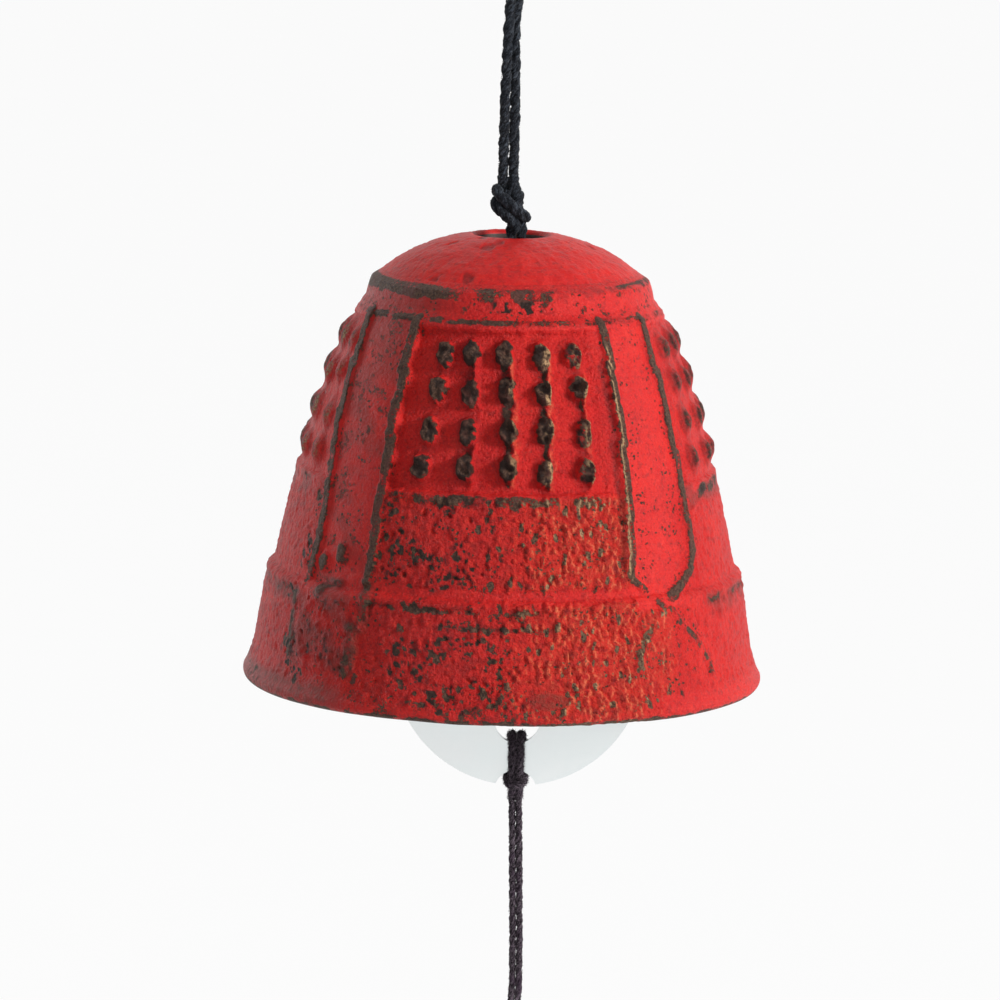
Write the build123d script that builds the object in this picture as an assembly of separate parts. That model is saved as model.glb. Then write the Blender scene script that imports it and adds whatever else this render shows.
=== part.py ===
from build123d import *
import math
import os

os.makedirs("parts", exist_ok=True)

# A small cast-iron wind bell of temple-bell form. It hangs on a doubled cord from a loop, a toggle
# bar under its crown carries it, and a sheet-metal disc strikes it. A paper strip hangs below.
# Millimetres, +Z up, the bell's axis on Z, the origin where the loop bears on its peg or hook.
# The viewer of the front panel stands on the -Y side.

# Bell casting: radii from the axis and depths below its top plane
hole_radius = 4.6
crown_radius = 16.05
crown_depth = 4.7
crown_bulge = 0.85
collar_top_radius = 17.3
collar_top_depth = 5.5
collar_radius = 18.3
collar_depth = 7.9
frame_top_radius = 19.4
frame_top_depth = 8.5
waist_radius = 26.65
waist_depth = 30.4
shoulder_bulge = 0.75
ridge_inner_radius = 29.15
ridge_depth = 41.8
lower_bulge = 0.1
skirt_top_radius = 29.75
skirt_radius = 31.0
skirt_depth = 50.4
lip_radius = 32.5
lip_depth = 55.0
lip_hollow = -0.25
rim_radius = 31.7
bell_height = 56.4
rim_bulge = 0.35
rim_bore_radius = 29.2
crown_wall = 2.8
cavity_top_radius = 14.6
cavity_top_depth = 8.2
cavity_crown_bulge = 0.7
body_wall = 3.3
cavity_bulge = 0.4

# Relief of the casting: four boss panels between four upright bands
panel_count = 4
panel_angle = 66.0
panel_top_depth = 9.5
panel_bottom_depth = 28.9
band_sink = 0.45
field_sink = 1.15
rib_angle = 2.6
rib_offset_angle = 10.6
rib_bottom_depth = 43.2
boss_rows = 4
boss_columns = 5
boss_pitch_angle = 11.6
boss_pitch = 4.75
first_boss = 2.9
boss_width = 2.7
boss_height = 3.5
boss_proud = 1.05
boss_root = 0.6
boss_taper_angle = 24.0
band_boss_pitch_angle = 6.4
band_boss_depth = 38.4
band_boss_proud = 0.5
seat_radius = 6.0
seat_depth = 48.2
seat_proud = 0.5
seat_ring_width = 1.0
seat_hub_radius = 2.0
seat_boss_proud = 0.5
foot_top_depth = 42.6
foot_waist_depth = 45.2
foot_bottom_depth = 52.4
foot_top_width = 9.0
foot_waist_width = 4.2
foot_bottom_width = 9.6
foot_proud = 0.4
overrun = 3.0

# Toggle bar that carries the bell, under the crown hole
toggle_radius = 1.5
toggle_length = 18.0
toggle_chamfer = 0.3
toggle_clearance = 0.3

# Hanging cord, doubled, with its loop, the knot on the crown and the sling round the toggle
hang_height = 44.0
cord_diameter = 1.3
peg_radius = 2.4
loop_length = 14.0
loop_lead = 2.0
loop_waist = 5.2
arc_share = 0.45
fold_relief = 0.04
strand_spacing = 1.36
cord_clearance = 0.05
joint_gap = 0.3
bend_gap = 0.6
knot_radius = 2.5
knot_neck_radius = 1.45
knot_height = 6.2
knot_lift = 0.7
sling_offset = 0.6
sling_lead = 1.6

# Clapper disc of sheet metal, with two holes and two notches
disc_radius = 15.85
disc_thickness = 1.0
disc_depth = 54.1
disc_offset = 2.1
disc_hole_radius = 2.9
disc_hole_pitch = 7.5
notch_radius = 2.7
notch_centre = 16.6

# Thin cord: the clapper's sling, its hitches on the disc and the doubled tail
thin_diameter = 0.87
thin_spacing = 0.92
thin_clearance = 0.12
hitch_reach = 17.6
hitch_lead = 0.9
hitch_rear = 0.6
hitch_leg = 0.8
bight_half = 1.25
bight_radius = 0.9
bight_drop = 1.2
sling_foot = 3.0
tail_length = 30.0

# Knot at the end of the tail, and the paper strip that catches the wind
tail_knot_radius = 1.35
tail_knot_neck_radius = 0.95
tail_knot_height = 3.0
strip_width = 38.0
strip_length = 100.0
strip_thickness = 0.4
strip_curl = 1.2
strip_hole_radius = 1.6
strip_hole_drop = 5.0
strip_drop = 2.6
strip_play = 0.15

# Places that follow from the sizes
cord_radius = cord_diameter / 2
thin_radius = thin_diameter / 2
top_plane = -hang_height
knot_bottom = top_plane + knot_lift
disc_height = top_plane - disc_depth
web_outer = notch_centre - notch_radius
tail_top = disc_height - hitch_reach - joint_gap
strip_pivot = tail_top - tail_length - tail_knot_height
strip_top = strip_pivot - strip_drop


def write(solid, node):
    solid.label = node
    export_step(solid, f"parts/{node}.step")


def arc_centre(start, end, bulge):
    """Centre and radius of the arc that bulges by `bulge` to the left of the way from start to end."""
    chord = math.dist(start, end)
    radius = (chord * chord / 4 + bulge * bulge) / (2 * bulge)
    left = ((start[1] - end[1]) / chord, (end[0] - start[0]) / chord)
    middle = ((start[0] + end[0]) / 2, (start[1] + end[1]) / 2)
    inward = radius - bulge
    return (middle[0] - left[0] * inward, middle[1] - left[1] * inward), radius


def height_on_arc(start, end, bulge, radius):
    """Height of a crown arc above the bell's top plane at one radius from the axis."""
    centre, arc_radius = arc_centre(start, end, bulge)
    return centre[1] + math.sqrt(arc_radius**2 - (radius - centre[0]) ** 2)


def radius_on_arc(start, end, bulge, depth):
    """Radius of a side arc from the axis at one depth below the top plane."""
    centre, arc_radius = arc_centre(start, end, bulge)
    return centre[0] + math.sqrt(arc_radius**2 - (-depth - centre[1]) ** 2)


def arc(start, end, bulge):
    """Edge in the XZ plane from start to end, bulging to the left of the way."""
    left = ((start[1] - end[1]), (end[0] - start[0]))
    chord = math.dist(start, end)
    middle = [(start[i] + end[i]) / 2 + left[i] / chord * bulge for i in range(2)]
    points = [(p[0], 0, p[1]) for p in (start, middle, end)]
    return ThreePointArc(*points)


def line(start, end):
    return Line((start[0], 0, start[1]), (end[0], 0, end[1]))


# Corners of the bell's outline as (radius, height) below the top plane
hole_edge = (hole_radius, 0)
crown_edge = (crown_radius, -crown_depth)
collar_top = (collar_top_radius, -collar_top_depth)
collar_edge = (collar_radius, -collar_depth)
frame_top = (frame_top_radius, -frame_top_depth)
waist = (waist_radius, -waist_depth)
ridge_inner = (ridge_inner_radius, -ridge_depth)
skirt_top = (skirt_top_radius, -ridge_depth)
skirt_end = (skirt_radius, -skirt_depth)
lip_edge = (lip_radius, -lip_depth)
rim_outer = (rim_radius, -bell_height)
rim_inner = (rim_bore_radius, -bell_height)
cavity_waist = (waist_radius - body_wall, -waist_depth)
cavity_top = (cavity_top_radius, -cavity_top_depth)
hole_under = (hole_radius, -crown_wall)

# The toggle lies just under the crown, which its two ends meet
crown_clear = height_on_arc(hole_under, cavity_top, cavity_crown_bulge, toggle_length / 2)
toggle_height = top_plane + crown_clear - toggle_clearance - toggle_radius


def sunk(corner, depth):
    return (corner[0] - depth, corner[1])


def outline(sink):
    """The casting's half section, with the wall between collar and ridge sunk by `sink`."""
    upper, middle, lower = (sunk(c, sink) for c in (frame_top, waist, ridge_inner))
    edges = [
        arc(hole_edge, crown_edge, crown_bulge),
        line(crown_edge, collar_top),
        line(collar_top, collar_edge),
        line(collar_edge, upper),
        arc(upper, middle, shoulder_bulge),
        arc(middle, lower, lower_bulge),
        line(lower, skirt_top),
        line(skirt_top, skirt_end),
        arc(skirt_end, lip_edge, lip_hollow),
        arc(lip_edge, rim_outer, rim_bulge),
        line(rim_outer, rim_inner),
        arc(rim_inner, cavity_waist, -cavity_bulge),
        arc(cavity_waist, cavity_top, -cavity_bulge),
        arc(cavity_top, hole_under, -cavity_crown_bulge),
        line(hole_under, hole_edge),
    ]
    return make_face(edges)


def side_face(top_depth, bottom_depth, inner_sink, outer_sink):
    """Half section of a layer of the shoulder wall between two depths and two sinks."""
    corners = []
    for sink in (inner_sink, outer_sink):
        for depth in (top_depth, bottom_depth):
            radius = radius_on_arc(frame_top, waist, shoulder_bulge, depth) - sink
            corners.append((radius, -depth))
    inner_top, inner_bottom, outer_top, outer_bottom = corners
    chord = math.dist(frame_top, waist)
    bulge = shoulder_bulge * (math.dist(inner_top, inner_bottom) / chord) ** 2
    edges = [
        arc(inner_top, inner_bottom, bulge),
        line(inner_bottom, outer_bottom),
        line(outer_bottom, outer_top),
        line(outer_top, inner_top),
    ]
    return make_face(edges)


def sector(face, centre_angle, width_angle):
    """The half section turned through width_angle about a centre azimuth, 0 being the front."""
    turned = revolve(face, Axis.Z, revolution_arc=width_angle)
    return Rot(0, 0, centre_angle - width_angle / 2 - 90) * turned


def boss(width, height, proud):
    """One upright boss with drafted sides, its foot sunk in the wall."""
    blank = Pos(0, 0, -boss_root) * SlotOverall(height, width, rotation=90)
    return extrude(blank, amount=proud + boss_root, taper=boss_taper_angle)


def wall_plane(edge, share):
    """Plane on a wall edge of the XZ plane, its normal pointing out of the bell."""
    point = edge @ share
    along = edge % share
    return Plane(origin=point, x_dir=(0, 1, 0), z_dir=(-along.Z, 0, along.X))


def boss_panel(centre_angle):
    """The bosses of one panel, in rows down the wall and columns round it."""
    field = arc(sunk(frame_top, field_sink), sunk(waist, field_sink), shoulder_bulge)
    single = boss(boss_width, boss_height, boss_proud)
    bosses = []
    for row in range(boss_rows):
        share = (first_boss + row * boss_pitch) / field.length
        seated = wall_plane(field, share).location * single
        for column in range(boss_columns):
            turn = (column - (boss_columns - 1) / 2) * boss_pitch_angle
            bosses.append(Rot(0, 0, centre_angle + turn - 90) * seated)
    return bosses


def skirt_layer(proud):
    """A thin layer of the skirt's surface, `proud` outside it and sunk well into the wall."""
    inner_top = sunk(skirt_top, band_sink)
    inner_end = sunk(skirt_end, band_sink)
    outer_top = sunk(skirt_top, -proud)
    outer_end = sunk(skirt_end, -proud)
    inner_lip = sunk(lip_edge, lip_radius - skirt_radius + band_sink)
    outer_lip = sunk(lip_edge, -proud)
    edges = [
        line(inner_top, inner_end),
        line(inner_end, inner_lip),
        line(inner_lip, outer_lip),
        arc(outer_lip, outer_end, -lip_hollow),
        line(outer_end, outer_top),
        line(outer_top, inner_top),
    ]
    return revolve(make_face(edges), Axis.Z)


def face_plane(depth):
    """Upright plane that looks out along +X, its centre on the axis at one depth."""
    return Plane(origin=(0, 0, -depth), x_dir=(0, 1, 0), z_dir=(1, 0, 0))


def striking_seat(centre_angle):
    """Round medallion where a temple bell is struck, with its ring and hub."""
    reach = lip_radius + overrun
    plate = extrude(face_plane(seat_depth) * Circle(seat_radius), amount=reach)
    hollow = extrude(face_plane(seat_depth) * Circle(seat_radius - seat_ring_width), amount=reach)
    hub = extrude(face_plane(seat_depth) * Circle(seat_hub_radius), amount=reach)
    low_layer = skirt_layer(seat_proud)
    high_layer = skirt_layer(seat_proud + seat_boss_proud)
    medallion = plate & low_layer
    raised = ((plate - hollow) + hub) & high_layer
    return [Rot(0, 0, centre_angle - 90) * part for part in (medallion, raised)]


def flared_foot(centre_angle):
    """Foot of a plain band: it narrows below the ridge and flares again to the lip."""
    rows = (
        (foot_top_width, foot_top_depth),
        (foot_waist_width, foot_waist_depth),
        (foot_bottom_width, foot_bottom_depth),
    )
    right = [(width / 2, seat_depth - depth) for width, depth in rows]
    left = [(-x, y) for x, y in reversed(right)]
    plate = face_plane(seat_depth) * make_face(Polyline(*right, *left, close=True))
    foot = extrude(plate, amount=lip_radius + overrun) & skirt_layer(foot_proud)
    return [Rot(0, 0, centre_angle - 90) * foot]


def band_ribs(centre_angle):
    """The two raised ribs that edge one upright band, cut off below the ridge."""
    keep = Pos(0, 0, -rib_bottom_depth) * Cylinder(
        lip_radius + overrun,
        rib_bottom_depth - collar_depth,
        align=(Align.CENTER, Align.CENTER, Align.MIN),
    )
    ribs = []
    for side in (-1, 1):
        rib = sector(outline(0), centre_angle + side * rib_offset_angle, rib_angle)
        ribs.append(rib & keep)
    return ribs


def bell_casting():
    body = revolve(outline(band_sink), Axis.Z)
    quarter = 360 / panel_count
    panels = [index * quarter for index in range(panel_count)]
    bands = [angle + quarter / 2 for angle in panels]
    recess = side_face(panel_top_depth, panel_bottom_depth, field_sink, -overrun)
    body -= [sector(recess, angle, panel_angle) for angle in panels]
    strip = side_face(panel_bottom_depth, waist_depth, field_sink, 0)
    lintel = side_face(frame_top_depth, panel_top_depth, field_sink, 0)
    relief = []
    for angle in panels:
        relief += [sector(strip, angle, panel_angle), sector(lintel, angle, panel_angle)]
        relief += boss_panel(angle)
    for index, angle in enumerate(bands):
        relief += band_ribs(angle)
        if index % 2:
            relief += striking_seat(angle)
            relief += band_bosses(angle)
        else:
            relief += flared_foot(angle)
    return body.fuse(*relief)


def band_bosses(centre_angle):
    """The pair of bosses on a band, above its striking seat."""
    wall = arc(sunk(waist, band_sink), sunk(ridge_inner, band_sink), lower_bulge)
    share = (band_boss_depth - waist_depth) / (ridge_depth - waist_depth)
    single = boss(boss_width, boss_height, band_boss_proud)
    seated = wall_plane(wall, share).location * single
    turns = [side * band_boss_pitch_angle / 2 for side in (-1, 1)]
    return [Rot(0, 0, centre_angle + turn - 90) * seated for turn in turns]


def corner_radii(points, set_radii):
    """Arc radius at each corner of a route: as large as its two runs allow, or as set."""
    radii = []
    for index in range(1, len(points) - 1):
        before = Vector(points[index]) - Vector(points[index - 1])
        after = Vector(points[index + 1]) - Vector(points[index])
        half_turn = math.radians(before.get_angle(after) / 2)
        widest = arc_share * min(before.length, after.length) / math.tan(half_turn)
        radii.append(set_radii.get(index, widest))
    return radii


def tube(name, points, diameter, set_radii=None):
    """A cord's solid along straight runs joined by tangent arcs; its radii and volume are printed."""
    radii = corner_radii(points, set_radii or {})
    path = FilletPolyline(*points, radius=radii) if radii else Line(*points)
    section = Plane(origin=path @ 0, z_dir=path % 0) * Circle(diameter / 2)
    solid = sweep(section, path)
    expected = math.pi * diameter**2 / 4 * path.length
    print(name, "length", round(path.length, 2), "arc radii", [round(r, 2) for r in radii])
    print(name, "volume over section times length", round(solid.volume / expected, 4))
    return solid


def toggle_bar():
    """Short round bar that lies under the crown, across its hole."""
    bar = Cylinder(toggle_radius, toggle_length, rotation=(0, 90, 0))
    return Pos(0, 0, toggle_height) * chamfer(bar.edges(), toggle_chamfer)


def hanging_loop():
    """The bight of the hanging cord, open enough for a peg or a hook."""
    side = peg_radius + cord_radius + cord_clearance
    half = strand_spacing / 2
    left = [
        (-half, 0, -loop_length),
        (-half, 0, loop_lead - loop_length),
        (-side, 0, -loop_waist),
        (-side, 0, cord_radius),
    ]
    right = [(-x, y, z) for x, y, z in reversed(left)]
    fold = side - fold_relief
    return tube("hanging_loop", left + right, cord_diameter, {3: fold, 4: fold})


def upper_strand(side):
    x = side * strand_spacing / 2
    route = [(x, 0, -loop_length - bend_gap), (x, 0, knot_bottom + knot_height + joint_gap)]
    return tube("upper_strand", route, cord_diameter)


def barrel(neck, radius, height):
    """An overhand knot drawn tight, as a barrel of two turns on a narrow neck."""
    bulge = radius - neck
    turns = [
        line((0, 0), (neck, 0)),
        arc((neck, 0), (neck, height / 2), -bulge),
        arc((neck, height / 2), (neck, height), -bulge),
        line((neck, height), (0, height)),
        line((0, height), (0, 0)),
    ]
    return revolve(make_face(turns), Axis.Z)


def toggle_sling():
    """The hanging cord below its knot: through the crown hole and once round the toggle."""
    half = strand_spacing / 2
    side = toggle_radius + cord_radius + cord_clearance
    legs = []
    for turn in (-1, 1):
        x = sling_offset + turn * half
        leg = [
            (x, 0, knot_bottom),
            (x, 0, knot_bottom - sling_lead),
            (x, turn * side, toggle_height + side),
            (x, turn * side, toggle_height - side),
        ]
        legs += leg if turn < 0 else reversed(leg)
    fold = side - fold_relief
    return tube("toggle_sling", legs, cord_diameter, {3: fold, 4: fold})


def clapper_disc():
    """Round plate with two holes, and two notches in its edge that seat the cords."""
    plate = Circle(disc_radius)
    for side in (-1, 1):
        plate -= Pos(0, side * disc_hole_pitch) * Circle(disc_hole_radius)
        plate -= Pos(0, side * notch_centre) * Circle(notch_radius)
    rear = (disc_offset, disc_thickness / 2, disc_height)
    upright = Plane(origin=rear, x_dir=(1, 0, 0), z_dir=(0, -1, 0))
    return extrude(upright * plate, amount=disc_thickness)


def hitch(name, side):
    """Cow hitch round the web between a hole and its notch: the bight lies in front."""
    half = thin_spacing / 2
    off = disc_thickness / 2 + thin_radius + thin_clearance
    room = disc_hole_radius - thin_radius - 2 * thin_clearance
    inner = disc_hole_pitch + math.sqrt(room**2 - hitch_leg**2)
    bight = web_outer + thin_radius + bight_drop
    left = [
        (-half, 0, hitch_reach),
        (-half, 0, hitch_reach - hitch_lead),
        (-hitch_rear, off, web_outer),
        (-hitch_leg, off, inner),
        (-hitch_leg, -off, inner),
        (-bight_half, -off, bight),
    ]
    right = [(-x, y, out) for x, y, out in reversed(left)]
    route = [(disc_offset + x, y, disc_height + side * out) for x, y, out in left + right]
    fold = off - fold_relief
    turns = {3: fold, 4: fold, 5: bight_radius, 6: bight_radius, 7: fold, 8: fold}
    return tube(name, route, thin_diameter, turns)


def clapper_cord():
    """Closed sling of thin cord, over the toggle and down to the disc's upper hitch."""
    half = thin_spacing / 2
    side = toggle_radius + thin_radius + thin_clearance
    foot = disc_height + hitch_reach + joint_gap
    legs = []
    for turn in (-1, 1):
        x = disc_offset + turn * half
        leg = [
            (x, 0, foot),
            (x, 0, foot + sling_foot),
            (x, turn * side, toggle_height - side),
            (x, turn * side, toggle_height + side),
        ]
        legs += leg if turn < 0 else reversed(leg)
    fold = side - fold_relief
    return tube("clapper_cord", legs, thin_diameter, {3: fold, 4: fold})


def tail_strand(side):
    x = disc_offset + side * thin_spacing / 2
    return tube("tail_strand", [(x, 0, tail_top), (x, 0, tail_top - tail_length)], thin_diameter)


def strip_loop():
    """The tail's end below its knot, through the hole of the paper strip."""
    start = thin_spacing / 2
    side = strip_thickness / 2 + thin_radius + thin_clearance + strip_play
    bottom = strip_top - strip_hole_drop + strip_hole_radius - thin_radius - thin_clearance
    front = [
        (disc_offset, -start, strip_pivot - joint_gap),
        (disc_offset, -side, strip_top),
        (disc_offset, -side, bottom),
    ]
    rear = [(x, -y, z) for x, y, z in reversed(front)]
    fold = side - fold_relief
    return tube("strip_loop", front + rear, thin_diameter, {2: fold, 3: fold})


def wish_strip():
    """Upright strip of stiff paper, curled a little across its width, with a punched hole."""
    half = strip_width / 2
    front = ThreePointArc((-half, strip_curl), (0, 0), (half, strip_curl))
    back = Pos(0, strip_thickness) * front
    ends = [Line(front @ i, back @ i) for i in (0, 1)]
    band = extrude(make_face([front, back, *ends]), amount=-strip_length)
    punch = Cylinder(strip_hole_radius, overrun * 2, rotation=(90, 0, 0))
    strip = band - Pos(0, 0, -strip_hole_drop) * punch
    return Pos(disc_offset, -strip_thickness / 2, strip_top) * strip


write(Pos(0, 0, top_plane) * bell_casting(), "bell_casting")
write(toggle_bar(), "toggle_bar")
write(hanging_loop(), "hanging_loop")
write(upper_strand(-1), "upper_strand_left")
write(upper_strand(1), "upper_strand_right")
write(Pos(0, 0, knot_bottom) * barrel(knot_neck_radius, knot_radius, knot_height), "crown_knot")
write(toggle_sling(), "toggle_sling")
write(clapper_cord(), "clapper_cord")
write(hitch("clapper_hitch", 1), "clapper_hitch")
write(clapper_disc(), "clapper_disc")
write(hitch("tail_hitch", -1), "tail_hitch")
write(tail_strand(-1), "tail_strand_left")
write(tail_strand(1), "tail_strand_right")
tail_end = barrel(tail_knot_neck_radius, tail_knot_radius, tail_knot_height)
write(Pos(disc_offset, 0, strip_pivot) * tail_end, "tail_knot")
write(strip_loop(), "strip_loop")
write(wish_strip(), "wish_strip")
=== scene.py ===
import math
import bpy
import numpy as np
from mathutils import Matrix, Vector


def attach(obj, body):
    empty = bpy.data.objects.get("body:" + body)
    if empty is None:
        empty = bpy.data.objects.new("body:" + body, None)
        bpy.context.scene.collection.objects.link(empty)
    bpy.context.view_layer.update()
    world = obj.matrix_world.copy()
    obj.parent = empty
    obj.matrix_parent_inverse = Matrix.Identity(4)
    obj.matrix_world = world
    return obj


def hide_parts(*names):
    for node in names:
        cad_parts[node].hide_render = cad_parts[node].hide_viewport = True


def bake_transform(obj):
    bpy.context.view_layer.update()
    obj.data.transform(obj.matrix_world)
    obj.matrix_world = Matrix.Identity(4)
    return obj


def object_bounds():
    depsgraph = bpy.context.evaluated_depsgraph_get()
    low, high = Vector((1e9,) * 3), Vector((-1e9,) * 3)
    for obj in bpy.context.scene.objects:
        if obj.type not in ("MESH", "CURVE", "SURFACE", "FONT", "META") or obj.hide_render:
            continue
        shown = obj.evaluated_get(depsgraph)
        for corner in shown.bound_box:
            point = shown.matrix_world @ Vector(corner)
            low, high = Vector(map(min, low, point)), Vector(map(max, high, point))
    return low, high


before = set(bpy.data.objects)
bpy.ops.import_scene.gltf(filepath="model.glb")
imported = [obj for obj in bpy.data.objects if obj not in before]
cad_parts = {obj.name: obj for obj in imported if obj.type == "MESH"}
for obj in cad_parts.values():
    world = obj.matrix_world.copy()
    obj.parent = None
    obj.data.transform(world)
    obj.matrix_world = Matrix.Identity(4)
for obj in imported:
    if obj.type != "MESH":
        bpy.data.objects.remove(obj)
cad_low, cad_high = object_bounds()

# A cast-iron wind bell painted red, with its cords, disc clapper and paper strip. Lengths are in
# millimetres until a mesh is made, which turns them into metres.
MM = 0.001
top_plane = -44.0

# Profile of the casting: depth below the top plane and radius of each corner
hole_radius = 4.6
crown_edge = (4.7, 16.05)
collar_top = (5.5, 17.3)
collar_edge = (7.8, 17.95)
frame_top = (9.0, 19.35)
waist = (30.4, 26.65)
ridge_inner = (41.5, 29.1)
skirt_top = (42.2, 29.75)
skirt_end = (50.4, 31.0)
lip_edge = (55.0, 32.5)
rim_outer = (56.4, 31.7)
cavity_waist = (30.4, 23.35)
cavity_top = (8.2, 14.6)
hole_under = (2.8, 4.6)

# Relief: levels below the outline, in millimetres, and depths of its edges
band_level = -0.32
field_level = -1.05
lower_level = -0.25
field_top = 9.6
field_bottom = 28.75
ledge_bottom = 30.0
rib_half_width = 0.62
boss_half_width = 1.30
boss_half_height = 1.75
boss_bare = (1.0, 1.0, 1.0, 0.95, 0.72)
azimuth_steps = 900

# Where the pattern's lines and zones start, are full, fade and end, as depths
frame_line_span = (8.45, 8.70, 9.05, 9.35)
band_span = (8.6, 9.2, 40.5, 42.4)
ledge_line_span = (28.9, 29.4, 30.1, 30.9)
seat_span = (41.6, 43.0, 51.2, 52.4)
foot_span = (42.2, 42.9, 52.6, 54.5)
collar_face_span = (5.2, 5.8, 8.3, 8.8)
steep_side_span = (30.0, 31.5, 53.0, 54.5)
ridge_depth = 42.25
ridge_width = 0.42
under_ridge_depth = 42.95
second_line_depth = 44.9
seat_middle_depth = 47.4

# Bosses of the front panel, a row at a time from the top: degrees from the front and depth
boss_rows = (
    ((-20.9, 12.5), (-11.6, 12.3), (-0.4, 12.3), (12.6, 12.3), (24.0, 12.3)),
    ((-21.4, 16.6), (-10.7, 16.9), (0.8, 16.5), (12.4, 16.9), (23.7, 16.3)),
    ((-22.0, 21.5), (-10.5, 21.6), (1.9, 21.4), (12.3, 21.3), (24.2, 21.6)),
    ((-23.2, 26.0), (-10.4, 25.8), (1.5, 25.9), (12.0, 26.2), (24.1, 26.1)),
)


# Noise, meshes and outlines
def smooth(low, high, x):
    """0 at low, 1 at high and smooth between them; low may be the greater."""
    t = np.clip((x - low) / (high - low), 0, 1)
    return t * t * (3 - 2 * t)


def window(x, start, full, fade, end):
    """0 outside start and end, 1 from full to fade, and smooth between them."""
    return smooth(start, full, x) * smooth(end, fade, x)


def hump(x, centre, width):
    """1 at the centre, falling off like a bell curve."""
    return np.exp(-(((x - centre) / width) ** 2))


class Grain:
    """Seeded smooth value noise at points in millimetres, from -1 to 1."""

    # The table's length is a power of two, so that this mask keeps a key inside it
    mask = 4095

    def __init__(self, seed):
        rng = np.random.default_rng(seed)
        self.table = rng.uniform(-1, 1, self.mask + 1)
        self.order = rng.permutation(self.mask + 1)
        self.turn = np.linalg.qr(rng.normal(size=(3, 3)))[0]

    def at(self, points, size, stretch=(1, 1, 1)):
        q = points / (size * np.array(stretch)) @ self.turn + 517.3
        cell = np.floor(q).astype(np.int64)
        f = q - cell
        f = f * f * (3 - 2 * f)

        total = 0
        for shift in np.ndindex(2, 2, 2):
            # The table's value at one corner of the cell, weighted by how near that corner is
            key = 0
            weight = 1
            for axis, step in enumerate(shift):
                key = self.order[(key + cell[..., axis] + step) & self.mask]
                weight = weight * (f[..., axis] if step else 1 - f[..., axis])
            total = total + weight * self.table[key]
        return total


def mesh_object(name, points, faces):
    """A smooth-shaded mesh from points in millimetres and faces that all have as many corners."""
    mesh = bpy.data.meshes.new(name)
    points = np.asarray(points, float)
    faces = np.asarray(faces, np.int32)
    mesh.vertices.add(len(points))
    mesh.vertices.foreach_set("co", (points * MM).astype(np.float32).ravel())
    mesh.loops.add(faces.size)
    mesh.loops.foreach_set("vertex_index", faces.ravel())
    mesh.polygons.add(len(faces))
    sides = faces.shape[1]
    mesh.polygons.foreach_set("loop_start", np.arange(0, faces.size, sides, dtype=np.int32))
    mesh.polygons.foreach_set("use_smooth", np.full(len(faces), True))
    mesh.update(calc_edges=True)
    mesh.validate()
    piece = bpy.data.objects.new(name, mesh)
    bpy.context.scene.collection.objects.link(piece)
    return piece


def set_attribute(piece, name, values, kind="FLOAT"):
    attribute = piece.data.attributes.new(name, kind, "POINT")
    key = "vector" if kind == "FLOAT_VECTOR" else "value"
    attribute.data.foreach_set(key, np.asarray(values, np.float32).ravel())


def lathe_faces(rows, columns):
    """Quads of a closed band of rows, each row a closed ring of columns points."""
    r, c = np.meshgrid(np.arange(rows - 1), np.arange(columns), indexing="ij")
    nxt = (c + 1) % columns
    quads = [r * columns + c, (r + 1) * columns + c, (r + 1) * columns + nxt, r * columns + nxt]
    return np.stack(quads, -1).reshape(-1, 4)


def bowed(start, end, bulge, step):
    """Points from start to end, (depth, radius) pairs, that bow outward by bulge at the middle."""
    start = np.array(start)
    end = np.array(end)
    count = max(2, int(math.ceil(np.linalg.norm(end - start) / step)))
    t = np.linspace(0, 1, count, endpoint=False)[:, None]
    along = end - start
    out = np.array([-along[1], along[0]]) / np.linalg.norm(along)
    return start + along * t + out * bulge * 4 * t * (1 - t)


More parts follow.
